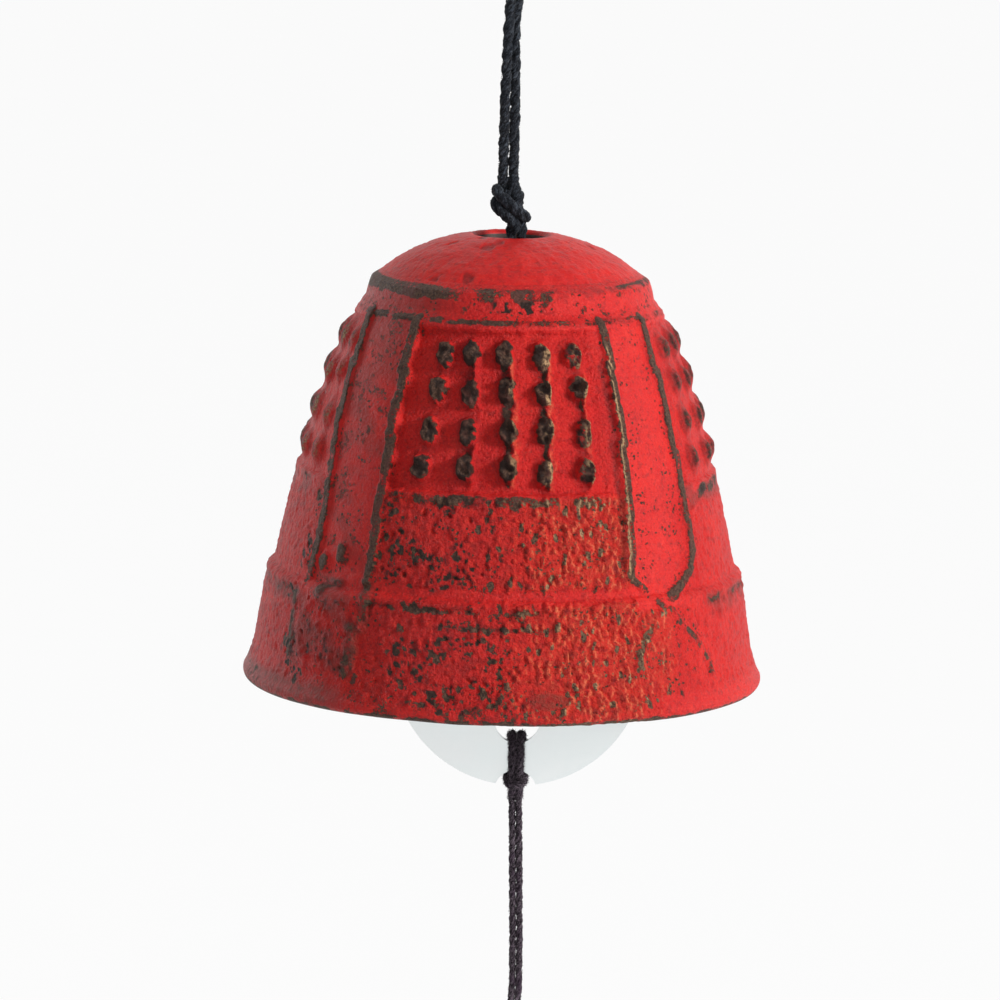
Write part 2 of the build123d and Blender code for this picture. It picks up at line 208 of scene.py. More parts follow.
# Materials
class Nodes:
    """Short names for making a material's nodes and links."""

    def __init__(self, name):
        self.material = bpy.data.materials.new(name)
        self.material.use_nodes = True
        self.tree = self.material.node_tree
        self.shader = self.tree.nodes["Principled BSDF"]

    def give(self, target, value):
        """Link a socket to another one, or set it to a fixed value."""
        if isinstance(value, bpy.types.NodeSocket):
            self.tree.links.new(value, target)
        else:
            target.default_value = value

    def add(self, kind, inputs=(), **settings):
        node = self.tree.nodes.new(kind)
        for key, value in settings.items():
            setattr(node, key, value)
        for slot, value in inputs:
            self.give(node.inputs[slot], value)
        return node

    def attribute(self, name, output="Fac"):
        return self.add("ShaderNodeAttribute", attribute_name=name).outputs[output]

    def place(self, scale, stretch=(1, 1, 1), source=None):
        """Coordinates in bumps per metre and stretched, in the object's own space or the source's."""
        if source is None:
            source = self.add("ShaderNodeTexCoord").outputs["Object"]
        scales = [scale / s for s in stretch]
        return self.add("ShaderNodeMapping", [("Scale", scales), ("Vector", source)]).outputs["Vector"]

    def noise(self, scale, stretch=(1, 1, 1), detail=3.0, rough=0.55, source=None, distortion=0.0):
        inputs = [("Scale", 1.0), ("Detail", detail), ("Roughness", rough), ("Distortion", distortion)]
        inputs.append(("Vector", self.place(scale, stretch, source)))
        return self.add("ShaderNodeTexNoise", inputs).outputs["Fac"]

    def spots(self, scale):
        inputs = [("Scale", 1.0), ("Vector", self.place(scale))]
        return self.add("ShaderNodeTexVoronoi", inputs).outputs["Distance"]

    def math(self, operation, a, b, clamp=False):
        inputs = [(0, a), (1, b)]
        return self.add("ShaderNodeMath", inputs, operation=operation, use_clamp=clamp).outputs[0]

    def times(self, a, b, clamp=False):
        return self.math("MULTIPLY", a, b, clamp)

    def plus(self, a, b):
        return self.math("ADD", a, b)

    def minus(self, a, b):
        return self.math("SUBTRACT", a, b)

    def larger(self, a, b):
        return self.math("MAXIMUM", a, b)

    def ramp(self, value, low, high, start=0.0, end=1.0):
        inputs = [("Value", value), ("From Min", low), ("From Max", high)]
        inputs += [("To Min", start), ("To Max", end)]
        node = self.add("ShaderNodeMapRange", inputs, interpolation_type="SMOOTHSTEP", clamp=True)
        return node.outputs["Result"]

    def mix(self, share, a, b):
        node = self.add("ShaderNodeMix", [(0, share)], data_type="RGBA")
        # Sockets 6 and 7 are the two colours
        for slot, colour in ((6, a), (7, b)):
            self.give(node.inputs[slot], (*colour, 1) if isinstance(colour, tuple) else colour)
        return node.outputs[2]

    def bump(self, height, distance, strength=1.0):
        inputs = [("Strength", strength), ("Distance", distance), ("Height", height)]
        return self.add("ShaderNodeBump", inputs).outputs["Normal"]

    def finish(self, colour, roughness, metallic=0.0, normal=None, **uniform):
        given = {"Base Color": colour, "Roughness": roughness, "Metallic": metallic, "Normal": normal}
        given.update({key.replace("_", " "): value for key, value in uniform.items()})
        for socket, value in given.items():
            if value is not None:
                self.give(self.shader.inputs[socket], value)
        return self.material


def painted_iron():
    """Red paint brushed over rough cast iron and rubbed off the high places."""
    n = Nodes("red_painted_iron")
    wear = n.attribute("wear")
    rough_zone = n.attribute("rough_zone")
    painted_shade = n.attribute("painted_shade")
    painted_glint = n.attribute("painted_glint")
    fine = n.noise(3600, detail=5.0, rough=0.65)
    middle = n.noise(1300, detail=4.0, rough=0.6)
    broad = n.noise(110, detail=2.0)
    streak = n.noise(700, stretch=(1, 1, 5), detail=3.0)
    # Paint, uneven, with painted shade in its hollows and creases and on slopes turned from the light
    red = n.mix(n.ramp(broad, 0.3, 0.7), (0.60, 0.010, 0.010), (0.70, 0.014, 0.011))
    red = n.mix(n.ramp(streak, 0.45, 0.75, 0.0, 0.4), red, (0.80, 0.030, 0.020))
    red = n.mix(n.ramp(middle, 0.50, 0.32, 0.0, 0.60), red, (0.34, 0.005, 0.006))
    grit = n.plus(n.times(rough_zone, 0.9), 0.30)
    grit = n.times(n.ramp(fine, 0.53, 0.68, 0.0, 0.55), grit)
    red = n.mix(grit, red, (0.30, 0.006, 0.008))
    red = n.mix(n.ramp(fine, 0.46, 0.32, 0.0, 0.40), red, (0.95, 0.060, 0.030))
    tinted = n.times(n.attribute("stain"), n.ramp(middle, 0.30, 0.62, 0.30, 0.90))
    red = n.mix(tinted, red, (0.180, 0.026, 0.020))
    # Painted shade: the paint goes nearly black where shade falls
    deep = n.times(painted_shade, n.ramp(fine, 0.35, 0.60, 0.95, 0.50), clamp=True)
    red = n.mix(deep, red, (0.045, 0.004, 0.004))
    # Where it is worn through, in specks and in ragged patches
    spot_edge = n.times(n.minus(fine, 0.5), 1.5)
    spots = n.ramp(n.plus(n.spots(1700), spot_edge), 0.34, 0.20)
    chance = n.ramp(n.noise(420, detail=3.0), 0.48, 0.60)
    speck_mask = n.times(n.times(spots, chance), n.attribute("specks"))
    ragged = n.plus(wear, n.times(n.minus(fine, 0.5), 1.4))
    ragged = n.plus(ragged, n.times(n.minus(middle, 0.5), 1.0))
    bare = n.larger(n.ramp(ragged, 0.40, 0.60), n.ramp(speck_mask, 0.2, 0.5))
    # The brown iron under it, and a painted golden glint and painted orange highlight on edges that face
    # the light
    brown = n.mix(n.ramp(fine, 0.35, 0.68), (0.038, 0.016, 0.010), (0.150, 0.076, 0.047))
    brown = n.mix(n.ramp(n.noise(300, detail=2.0), 0.5, 0.7, 0.0, 0.6), brown, (0.150, 0.042, 0.034))
    # Painted shade on the bare iron as well
    brown = n.mix(n.times(painted_shade, 0.95, clamp=True), brown, (0.020, 0.007, 0.004))
    # Painted glint: golden bare metal and orange paint where edges face the light
    glint = n.times(n.times(painted_glint, n.ramp(fine, 0.36, 0.56)), 0.9, clamp=True)
    metal_and_glint = n.mix(glint, brown, (0.66, 0.42, 0.22))
    painted_highlight = n.times(glint, n.ramp(middle, 0.36, 0.58, 0.1, 0.8))
    red = n.mix(painted_highlight, red, (0.98, 0.27, 0.12))
    colour = n.mix(bare, red, metal_and_glint)
    # Gloss and grain
    gloss = n.plus(n.times(middle, 0.24), 0.36)
    roughness = n.plus(gloss, n.times(bare, 0.10))
    grain = n.plus(n.noise(2600, detail=5.0, rough=0.65), n.times(middle, 0.8))
    coarse_zone = n.larger(rough_zone, n.times(bare, 0.9))
    height = n.minus(n.times(grain, coarse_zone), n.times(bare, 0.35))
    normal = n.bump(height, 0.00045, 1.0)
    metallic = n.times(n.times(bare, glint), 0.6)
    return n.finish(colour, roughness, metallic, normal, Specular_IOR_Level=0.28)


def bare_iron():
    """The casting's unpainted inside and rim: dark, dull and sandy."""
    n = Nodes("bare_iron")
    fine = n.noise(2400, detail=5.0, rough=0.65)
    broad = n.noise(180, detail=3.0)
    colour = n.mix(n.ramp(broad, 0.35, 0.65), (0.030, 0.020, 0.018), (0.075, 0.052, 0.044))
    colour = n.mix(n.ramp(fine, 0.55, 0.75, 0.0, 0.6), colour, (0.13, 0.045, 0.035))
    return n.finish(colour, n.ramp(fine, 0.2, 0.8, 0.5, 0.75), 0.3, n.bump(fine, 0.00012, 0.8))


def cord_material(name, dark, light, tint):
    """Spun fibres that follow the twist of each ply, with lighter loose ones."""
    n = Nodes(name)
    lay = n.attribute("lay", "Vector")
    fibre = n.noise(3600, stretch=(1, 1, 2), detail=6.0, rough=0.85, source=lay)
    patch = n.noise(420, detail=2.0)
    colour = n.mix(n.ramp(fibre, 0.48, 0.60), dark, light)
    colour = n.mix(n.ramp(patch, 0.48, 0.7, 0.0, 0.45), colour, tint)
    colour = n.mix(n.times(n.attribute("loose"), 0.75), colour, light)
    normal = n.bump(fibre, 0.00030, 1.0)
    return n.finish(colour, 0.9, 0.0, normal, Sheen_Weight=0.08, Specular_IOR_Level=0.12)


def disc_material():
    """Brushed pale sheet metal with smudges and a few scratches."""
    n = Nodes("disc_sheet")
    brushed = n.noise(1500, stretch=(12, 1, 1), detail=3.0)
    smudge = n.noise(150, detail=3.0)
    scratch = n.ramp(n.noise(420, stretch=(1, 1, 0.2), detail=4.0, rough=0.7), 0.70, 0.74, 0.0, 0.5)
    colour = n.mix(n.ramp(smudge, 0.35, 0.7), (0.84, 0.885, 0.885), (0.89, 0.92, 0.92))
    colour = n.mix(n.ramp(brushed, 0.6, 0.8, 0.0, 0.2), colour, (0.78, 0.82, 0.82))
    colour = n.mix(scratch, colour, (0.45, 0.50, 0.49))
    return n.finish(colour, n.ramp(smudge, 0.3, 0.7, 0.30, 0.40), 0.9, n.bump(brushed, 0.00001, 0.3))


def steel_material():
    """A turned steel bar."""
    n = Nodes("toggle_steel")
    turned = n.noise(1800, stretch=(0.2, 3, 3), detail=3.0)
    colour = n.mix(n.ramp(turned, 0.35, 0.7), (0.36, 0.35, 0.34), (0.52, 0.51, 0.50))
    return n.finish(colour, n.ramp(turned, 0.3, 0.7, 0.3, 0.45), 0.9, n.bump(turned, 0.00003, 0.5))


def paper_material():
    """Plain laid paper with long fibres in it."""
    n = Nodes("strip_paper")
    fibres = n.noise(700, stretch=(1, 1, 5), detail=5.0, rough=0.7, distortion=1.2)
    cloud = n.noise(90, detail=3.0)
    tooth = n.noise(4200, detail=3.0)
    colour = n.mix(n.ramp(cloud, 0.3, 0.7), (0.74, 0.70, 0.60), (0.80, 0.775, 0.70))
    colour = n.mix(n.ramp(fibres, 0.60, 0.72, 0.0, 0.6), colour, (0.86, 0.84, 0.78))
    colour = n.mix(n.ramp(fibres, 0.30, 0.22, 0.0, 0.3), colour, (0.60, 0.54, 0.42))
    normal = n.bump(tooth, 0.00006, 0.5)
    return n.finish(colour, 0.85, 0.0, normal, Specular_IOR_Level=0.25)


def seen_rays(tree):
    """1 for the camera's, mirrored and passed rays, which see a white surround, otherwise 0."""
    rays = tree.nodes.new("ShaderNodeLightPath").outputs
    seen = rays["Is Camera Ray"]
    for kind in ("Is Transmission Ray", "Is Glossy Ray"):
        larger = tree.nodes.new("ShaderNodeMath")
        larger.operation = "MAXIMUM"
        tree.links.new(seen, larger.inputs[0])
        tree.links.new(rays[kind], larger.inputs[1])
        seen = larger.outputs[0]
    return seen


def stage_material():
    """Pale floor that the camera sees as white, with the object's shadow on it."""
    floor_glow = 0.94
    n = Nodes("stage_white")
    colour = n.mix(n.ramp(n.noise(40, detail=2.0), 0.3, 0.7), (0.86, 0.86, 0.86), (0.90, 0.90, 0.90))
    n.finish(colour, 0.9)
    glow = n.add("ShaderNodeEmission", [("Color", (1, 1, 1, 1))])
    share = n.times(seen_rays(n.tree), floor_glow)
    mixed = n.add("ShaderNodeMixShader", [(0, share), (1, n.shader.outputs[0]), (2, glow.outputs[0])])
    n.give(n.tree.nodes["Material Output"].inputs["Surface"], mixed.outputs[0])
    return n.material


# Camera, lights and stage
view_distance = 800.0
view_height = 91.4
view_pitch = math.radians(8.88)
view_roll = math.radians(1.31)
view_turn = math.radians(1.2)

camera_data = bpy.data.cameras.new("photo_camera")
camera = bpy.data.objects.new("photo_camera", camera_data)
bpy.context.scene.collection.objects.link(camera)
camera_data.lens = 232.3
camera_data.sensor_width = 36.0
camera_data.shift_x = -0.0055
camera_data.clip_end = 20.0
camera.location = Vector((
    view_distance * math.sin(view_turn),
    -view_distance * math.cos(view_turn),
    view_height + top_plane,
)) * MM
aim = Matrix.Rotation(view_turn, 4, "Z") @ Matrix.Rotation(math.pi / 2 - view_pitch, 4, "X")
camera.rotation_euler = (aim @ Matrix.Rotation(view_roll, 4, "Z")).to_euler()
bpy.context.scene.camera = camera


def lamp(name, place, energy, size):
    """A square lamp aimed at the bell."""
    data = bpy.data.lights.new(name, "AREA")
    data.energy = energy
    data.size = size
    holder = bpy.data.objects.new(name, data)
    holder.location = place
    holder.rotation_euler = (bell_middle - holder.location).to_track_quat("-Z", "Y").to_euler()
    bpy.context.scene.collection.objects.link(holder)


bell_middle = Vector((0, 0, -0.07))
lamp("key_right", (1.16, -0.60, 0.42), 17.6, 0.30)
lamp("fill_front", (-0.15, -1.10, 0.75), 1.3, 0.7)
lamp("rim_left", (-0.95, 0.75, 0.12), 2.6, 0.4)

# The world looks white, and lights the bell far less than that
world_light = 0.24
world = bpy.data.worlds.new("studio")
bpy.context.scene.world = world
world.use_nodes = True
world_tree = world.node_tree
background = world_tree.nodes["Background"]
background.inputs["Color"].default_value = (1, 1, 1, 1)
strength = world_tree.nodes.new("ShaderNodeMapRange")
strength.inputs["To Min"].default_value = world_light
strength.inputs["To Max"].default_value = 1.0
world_tree.links.new(seen_rays(world_tree), strength.inputs["Value"])
world_tree.links.new(strength.outputs["Result"], background.inputs["Strength"])

floor_reach = 6.0
floor_height = cad_low[2] - 0.02
signs = ((-1, -1), (1, -1), (1, 1), (-1, 1))
corners = [(x * floor_reach, y * floor_reach, floor_height) for x, y in signs]
floor_data = bpy.data.meshes.new("floor")
floor_data.from_pydata(corners, [], [(0, 1, 2, 3)])
floor = bpy.data.objects.new("floor", floor_data)
bpy.context.scene.collection.objects.link(floor)
floor.data.materials.append(stage_material())
bpy.context.scene.view_settings.view_transform = "Standard"


# Cords
def spline_points(name, route):
    """Points along the route's NURBS spline, in millimetres, as Blender evaluates it."""
    data = bpy.data.curves.new(name + "_line", "CURVE")
    data.dimensions = "3D"
    data.resolution_u = 24
    spline = data.splines.new("NURBS")
    spline.points.add(len(route) - 1)
    for point, place in zip(spline.points, route):
        point.co = (*[c * MM for c in place], 1)
    spline.order_u = 3
    spline.use_endpoint_u = True
    holder = bpy.data.objects.new(name + "_line", data)
    bpy.context.scene.collection.objects.link(holder)
    bpy.context.view_layer.update()
    mesh = bpy.data.meshes.new_from_object(holder)
    points = np.array([v.co for v in mesh.vertices]) / MM
    bpy.data.objects.remove(holder)
    bpy.data.meshes.remove(mesh)
    return points


def even(points, step):
    """The same line with points at even steps."""
    gaps = np.linalg.norm(np.diff(points, axis=0), axis=1)
    keep = np.concatenate([[True], gaps > 1e-6])
    points = points[keep]
    along = np.concatenate([[0], np.cumsum(np.linalg.norm(np.diff(points, axis=0), axis=1))])
    count = max(4, int(round(along[-1] / step)))
    marks = np.linspace(0, along[-1], count + 1)
    return np.stack([np.interp(marks, along, points[:, k]) for k in range(3)], -1), marks


def frames(points, first):
    """A side and an up direction at each point that turn with the line and don't twist about it."""
    tangents = np.gradient(points, axis=0)
    tangents /= np.linalg.norm(tangents, axis=1)[:, None]
    side = np.array(first, float)
    sides = []
    for tangent in tangents:
        side = side - tangent * np.dot(side, tangent)
        side /= np.linalg.norm(side)
        sides.append(side)
    sides = np.array(sides)
    return sides, np.cross(tangents, sides)


def hairs(path, reach, count, rng, long):
    """Loose fibres standing off a line: closed four-sided tubes, as points and quads."""
    index = rng.integers(1, len(path) - 1, count)
    tangent = path[index + 1] - path[index - 1]
    tangent /= np.linalg.norm(tangent, axis=1)[:, None]
    out = np.cross(tangent, rng.normal(size=(count, 3)))
    out /= np.linalg.norm(out, axis=1)[:, None]
    across = np.cross(tangent, out)
    lean = tangent * rng.uniform(-1.2, 1.2, count)[:, None] + across * rng.uniform(-1, 1, count)[:, None]
    long = rng.uniform(0.4, 1.0, count)[:, None] * long
    rings = []
    for t, thick in ((0.0, 0.034), (0.4, 0.032), (0.75, 0.024), (1.0, 0.010)):
        centre = path[index] + out * (reach * 0.85 + long * (t - 0.45 * t * t)) + lean * long * t * 0.9
        spokes = (tangent, across, -tangent, -across)
        rings.append(np.stack([centre + thick * spoke for spoke in spokes], 1))
    points = np.stack(rings, 1).reshape(-1, 3)
    quads = [[0, 1, 2, 3], [15, 14, 13, 12]]
    for first in (0, 4, 8):
        for k in range(4):
            after = (k + 1) % 4
            quads.append([first + k, first + 4 + k, first + 4 + after, first + after])
    return points, (np.array(quads)[None] + 16 * np.arange(count)[:, None, None]).reshape(-1, 4)


def laid_cord(name, route, diameter, pitch, material, seed, phase=0.0, fuzz=40, long=0.26):
    """A fuzzy cord of three twisted plies along a route: the piece and the points that it follows."""
    path, along = even(spline_points(name, route), 0.14)
    side, up = frames(path, (0.123, 0.97, 0.21))
    plies = 3
    sides = 16
    ply_radius = diameter / 2 * 0.60
    offset = diameter / 2 * 0.43
    grain = Grain(seed)
    turns = np.linspace(0, 2 * math.pi, sides, endpoint=False)
    points = []
    lay = []
    faces = []
    total = 0

    def wander(shift, lift, size):
        return grain.at(np.stack([along, 0 * along + shift, 0 * along + lift], -1), size)

    for ply in range(plies):
        swing = 2 * math.pi * (along / pitch + ply / plies) + phase + 0.5 * wander(ply * 9.1, 0, 2.5)
        centre = path + offset * (np.cos(swing)[:, None] * side + np.sin(swing)[:, None] * up)
        across, over = frames(centre, side[0])
        wobble = 1 + 0.14 * wander(ply * 5.3, 3, 1.0)
        ring = np.cos(turns)[None, :, None] * across[:, None] + np.sin(turns)[None, :, None] * over[:, None]
        surface = centre[:, None] + ring * (ply_radius * wobble)[:, None, None]
        fluff = 0.07 * grain.at(surface, 0.25) + 0.06 * grain.at(surface, 0.5)
        surface = surface + ring * fluff[..., None]
        points.append(surface.reshape(-1, 3))
        twist = turns[None, :] - 1.6 * along[:, None] / diameter
        tall = np.broadcast_to(along[:, None], twist.shape)
        lay.append(np.stack([0.4 * np.cos(twist) + ply * 3, 0.4 * np.sin(twist), tall], -1).reshape(-1, 3))
        faces.append(lathe_faces(len(path), sides) + total)
        for start, order in ((total, 1), (total + (len(path) - 1) * sides, -1)):
            ends = np.arange(sides) + start
            for k in range(sides // 2 - 1):
                faces.append(np.array([[ends[k], ends[k + 1], ends[-2 - k], ends[-1 - k]][::order]]))
        total += surface.shape[0] * sides
    rng = np.random.default_rng(seed)
    loose, quads = hairs(path, diameter / 2, int(along[-1] * fuzz), rng, long)
    points.append(loose)
    lay.append(loose)
    faces.append(quads + total)
    piece = mesh_object(name, np.concatenate(points), np.concatenate(faces))
    set_attribute(piece, "lay", np.concatenate(lay) * MM, "FLOAT_VECTOR")
    set_attribute(piece, "loose", np.arange(total + len(loose)) >= total)
    piece.data.materials.append(material)
    return piece, path


def stand_in(piece, body, node):
    """The piece moves with a body, and is drawn in place of a node of the CAD."""
    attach(piece, body)
    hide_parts(node)


dark_cord = cord_material("dark_cord", (0.004, 0.005, 0.008), (0.078, 0.092, 0.115), (0.012, 0.016, 0.024))
thin_cord = cord_material("thin_cord", (0.016, 0.009, 0.015), (0.230, 0.180, 0.220), (0.090, 0.050, 0.090))

cord_diameter = 1.3
strand_half = 0.68
knot_bottom = -43.3
strand_middle = -0.55
strand_reach = 0.66
strand_left = []
strand_right = []
for z, turn in ((-37.6, 0), (-33.5, 4), (-29.0, 14), (-24.5, 32), (-20.5, 48), (-16.5, 58)):
    reach_x = strand_reach * math.cos(math.radians(turn))
    reach_y = strand_reach * math.sin(math.radians(turn))
    middle_x = strand_middle if z < -20 else strand_middle * 0.8
    strand_left.append((middle_x - reach_x, -reach_y, z))
    strand_right.append((middle_x + reach_x, reach_y, z))
bight = [(-strand_half, 0, -12.0), (-3.1, 0, -5.2), (-3.1, 0, 0.65)]
upper_route = strand_left + bight + [(-x, y, z) for x, y, z in reversed(bight)] + strand_right[::-1]
upper_cord, upper_path = laid_cord("upper_cord", upper_route, cord_diameter, 5.4, dark_cord, seed=11)
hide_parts("hanging_loop", "upper_strand_left", "upper_strand_right")
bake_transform(upper_cord)

# The knot on the crown: the doubled cord turns round itself twice and passes through. Each line has
# its thickness and its route.
knot_lines = (
    (1.5, [
        (-1.15, 0.1, -36.9), (-1.2, 0.35, -38.6), (-0.8, 0.8, -40),
        (0.2, 0.9, -41.2), (1, 0.6, -42.2), (1.28, 0, -43.7),
    ]),
    (1.5, [(0.05, 0, -36.9), (0.15, -0.1, -38.4), (0.6, 0.1, -39.8), (0.5, 0.2, -41.5), (-0.08, 0, -43.7)]),
    (1.5, [
        (-0.6, 0.6, -38.6), (-1.75, 0.5, -38.2), (-2.1, -0.35, -38.6),
        (-1.2, -1.15, -39.3), (0.1, -1.35, -40.4), (1.3, -0.95, -41.5),
        (1.85, -0.05, -41.95), (1.2, 0.8, -41.7), (0.2, 0.9, -41),
    ]),
    (1.5, [
        (-0.8, 0.7, -39.8), (-2, 0.35, -39.8), (-2.15, -0.35, -40.3), (-1.4, -1.1, -41),
        (-0.3, -1.2, -41.9), (0.6, -0.8, -42.6), (0.5, -0.2, -43.7),
    ]),
    (1.5, [
        (-0.1, 0.9, -38.3), (0.5, 0.35, -38.5), (0.75, -0.4, -39.2), (0.7, -0.9, -40.2), (0.1, -0.5, -41),
    ]),
    (2.2, [(-0.9, 0.3, -38.8), (0, 0.3, -40.4), (0.9, 0.3, -42)]),
)
knot_pitch = 4.2
for index, (thick, line) in enumerate(knot_lines):
    knot, path = laid_cord(f"crown_knot_{index}", line, thick, knot_pitch, dark_cord, seed=21 + index)
    stand_in(knot, "toggle", "crown_knot")

# The sling under the knot, round the toggle
toggle_height = -50.207


def round_toggle(middle, half_gap, start, straight, side, rise):
    """Route of a cord from a start round the toggle and back; rise is 1 from below, -1 from above."""
    route = []
    for turn in (-1, 1):
        x = middle + turn * half_gap
        leg = [
            (x, 0, start),
            (x, 0, start + rise * straight),
            (x, turn * side, toggle_height - rise * side),
            (x, turn * side, toggle_height + rise * side),
        ]
        route += leg if turn < 0 else leg[::-1]
    return route


sling_route = round_toggle(0.6, strand_half, knot_bottom, 1.6, 2.2, -1)
sling, path = laid_cord("toggle_sling_cord", sling_route, 1.2, 5.0, dark_cord, seed=31)
stand_in(sling, "toggle", "toggle_sling")

# Thin cord: the clapper's sling, the two hitches and the tail
thin = 0.87
disc_x = 2.1
disc_height = -98.1
thin_half = 0.42
thin_pitch = 4.5
tight_pitch = 3.6
hitch_end = 17.9
line_route = round_toggle(disc_x, thin_half, disc_height + hitch_end, 3.0, 2.055, 1)
clapper_line, line_path = laid_cord("clapper_line_cord", line_route, thin, thin_pitch, thin_cord, seed=41)
stand_in(clapper_line, "clapper_line", "clapper_cord")


def hitch_route(side):
    """Control points of a cow hitch on the disc; side 1 is the upper hitch, -1 the lower."""
    left = [
        (-0.42, 0.0, 17.75), (-0.42, -0.5, 16.7), (-0.46, -1.05, 14.0),
        (-0.46, -1.05, 9.4), (-0.70, 1.05, 9.2), (-0.90, 1.05, 13.9),
        (-1.15, -0.3, 14.9), (-0.90, -1.5, 15.5), (0.0, -1.75, 15.7),
    ]
    both = left + [(-x, y, out) for x, y, out in reversed(left[:-1])]
    return [(disc_x + x, y, disc_height + side * out) for x, y, out in both]


for node, side in (("clapper_hitch", 1), ("tail_hitch", -1)):
    route = hitch_route(side)
    name = f"{node}_cord"
    seed = 51 + side
    hitch, path = laid_cord(name, route, 1.0, tight_pitch, thin_cord, seed=seed, fuzz=90, long=0.5)
    stand_in(hitch, "clapper", node)

tail_length = 30.0
tail_top = disc_height - hitch_end
tail_end = tail_top - tail_length
for index, side in enumerate((-1, 1)):
    x = disc_x + side * thin_half
    route = [
        (x, 0, tail_top + 0.2), (x + 0.2, 0, tail_top - 6), (x + 0.55, 0, tail_top - 20),
        (x + 0.55, 0, tail_top - 26), (x, 0, tail_end - 0.2),
    ]
    end = ("left", "right")[index]
    name = f"tail_cord_{end}"
    phase = 1.1 * index
    tail, path = laid_cord(name, route, thin, thin_pitch, thin_cord, seed=61 + index, phase=phase)
    stand_in(tail, "tail", f"tail_strand_{end}")

strip_pivot = tail_end - 3.0
tail_knot_lines = (
    [
        (-0.46, 0.0, 3.2), (-0.70, -0.35, 2.4), (-0.85, 0.35, 1.8), (0.20, 0.85, 1.5),
        (0.90, 0.10, 1.3), (0.30, -0.80, 1.2), (-0.55, -0.50, 0.8), (0.0, -0.46, -0.2),
    ],
    [
        (0.46, 0.0, 3.2), (0.60, -0.55, 2.4), (0.0, -0.85, 1.9), (-0.85, -0.20, 1.7),
        (-0.50, 0.70, 1.2), (0.50, 0.75, 0.9), (0.60, 0.40, 0.4), (0.0, 0.46, -0.2),
    ],
)
for index, line in enumerate(tail_knot_lines):
    route = [(disc_x + x, y, z + strip_pivot) for x, y, z in line]
    knot, path = laid_cord(f"tail_knot_{index}", route, 0.9, tight_pitch, thin_cord, seed=71 + index)
    stand_in(knot, "tail", "tail_knot")

# The loop through the strip's punched hole, which the strip hangs from
strip_width = 38.0
strip_length = 100.0
strip_thickness = 0.36
strip_curl = 1.2
punch_radius = 1.6
punch_drop = 5.0
strip_top = strip_pivot - 2.6
loop_side = 0.905
loop_below_edge = 0.555
loop_bottom = strip_top - punch_drop + punch_radius - loop_below_edge
loop_front = [
    (disc_x, -0.46, strip_pivot - 0.2),
    (disc_x, -loop_side, strip_top),
    (disc_x, -loop_side, loop_bottom - 0.15),
]
loop_route = loop_front + [(x, -y, z) for x, y, z in reversed(loop_front)]
strip_loop, path = laid_cord("strip_loop_cord", loop_route, 0.85, thin_pitch, thin_cord, seed=81)
stand_in(strip_loop, "strip", "strip_loop")


# The paper strip
def paper_strip():
    """A thin upright sheet, curled across its width, with a punched hole and soft waves."""
    columns = 64
    rows = 140
    grain = Grain(91)
    xs = np.linspace(-strip_width / 2, strip_width / 2, columns + 1)
    zs = np.linspace(0, -strip_length, rows + 1)
    gx, gz = np.meshgrid(xs, zs, indexing="xy")
    away = np.hypot(gx, gz + punch_drop)
    push = np.maximum(punch_radius - away, 0) / np.maximum(away, 1e-6)
    gx = gx + gx * push
    gz = gz + (gz + punch_drop) * push
    depth = strip_curl * (2 * gx / strip_width) ** 2
    flat = np.stack([gx, 0 * gx, gz], -1)
    depth = depth * 0.9 + 0.12 * grain.at(flat, 26.0) * smooth(0, -20, gz)
    front = np.stack([gx + disc_x, depth - strip_thickness / 2, gz + strip_top], -1)
    back = front + np.array([0, strip_thickness, 0])
    middle_x = (gx[:-1, :-1] + gx[1:, 1:]) / 2
    middle_z = (gz[:-1, :-1] + gz[1:, 1:]) / 2
    keep = np.hypot(middle_x, middle_z + punch_drop) > punch_radius * 0.93
    index = np.arange((rows + 1) * (columns + 1)).reshape(rows + 1, columns + 1)
    quads = np.stack([index[:-1, :-1], index[1:, :-1], index[1:, 1:], index[:-1, 1:]], -1)[keep]
    total = index.size
    faces = [quads, quads[:, ::-1] + total]
    edges = {}
    for quad in quads:
        for a, b in zip(quad, np.roll(quad, -1)):
            edges[(int(a), int(b))] = True
    rims = [(a, b) for a, b in edges if (b, a) not in edges]
    faces.append(np.array([(b, a, a + total, b + total) for a, b in rims]))
    points = np.concatenate([front.reshape(-1, 3), back.reshape(-1, 3)])
    faces = np.concatenate(faces)
    used = np.unique(faces)
    renumber = np.full(len(points), -1)
    renumber[used] = np.arange(len(used))
    return mesh_object("paper_strip", points[used], renumber[faces])


strip = paper_strip()
strip.data.materials.append(paper_material())
stand_in(strip, "strip", "wish_strip")


# The bell
def arc_from(angle, centre, radius):
    """Signed way round the bell in millimetres from a centre azimuth, at each radius."""
    turn = (angle - centre + 180) % 360 - 180
    return np.radians(turn) * radius


def route_distance(angle, depth, radius, route, centre):
    """Distance in millimetres from a route of (degrees, depth) points on the wall."""
    best = np.full(angle.shape, 1e3)
    u = arc_from(angle, centre, radius)
    for (a0, d0), (a1, d1) in zip(route, route[1:]):
        r0 = np.interp((d0 + d1) / 2, wall_depths, wall_radii)
        p0 = np.array([math.radians(a0 - centre) * r0, d0])
        p1 = np.array([math.radians(a1 - centre) * r0, d1])
        way = p1 - p0
        t = np.clip(((u - p0[0]) * way[0] + (depth - p0[1]) * way[1]) / way.dot(way), 0, 1)
        best = np.minimum(best, np.hypot(u - p0[0] - t * way[0], depth - p0[1] - t * way[1]))
    return best


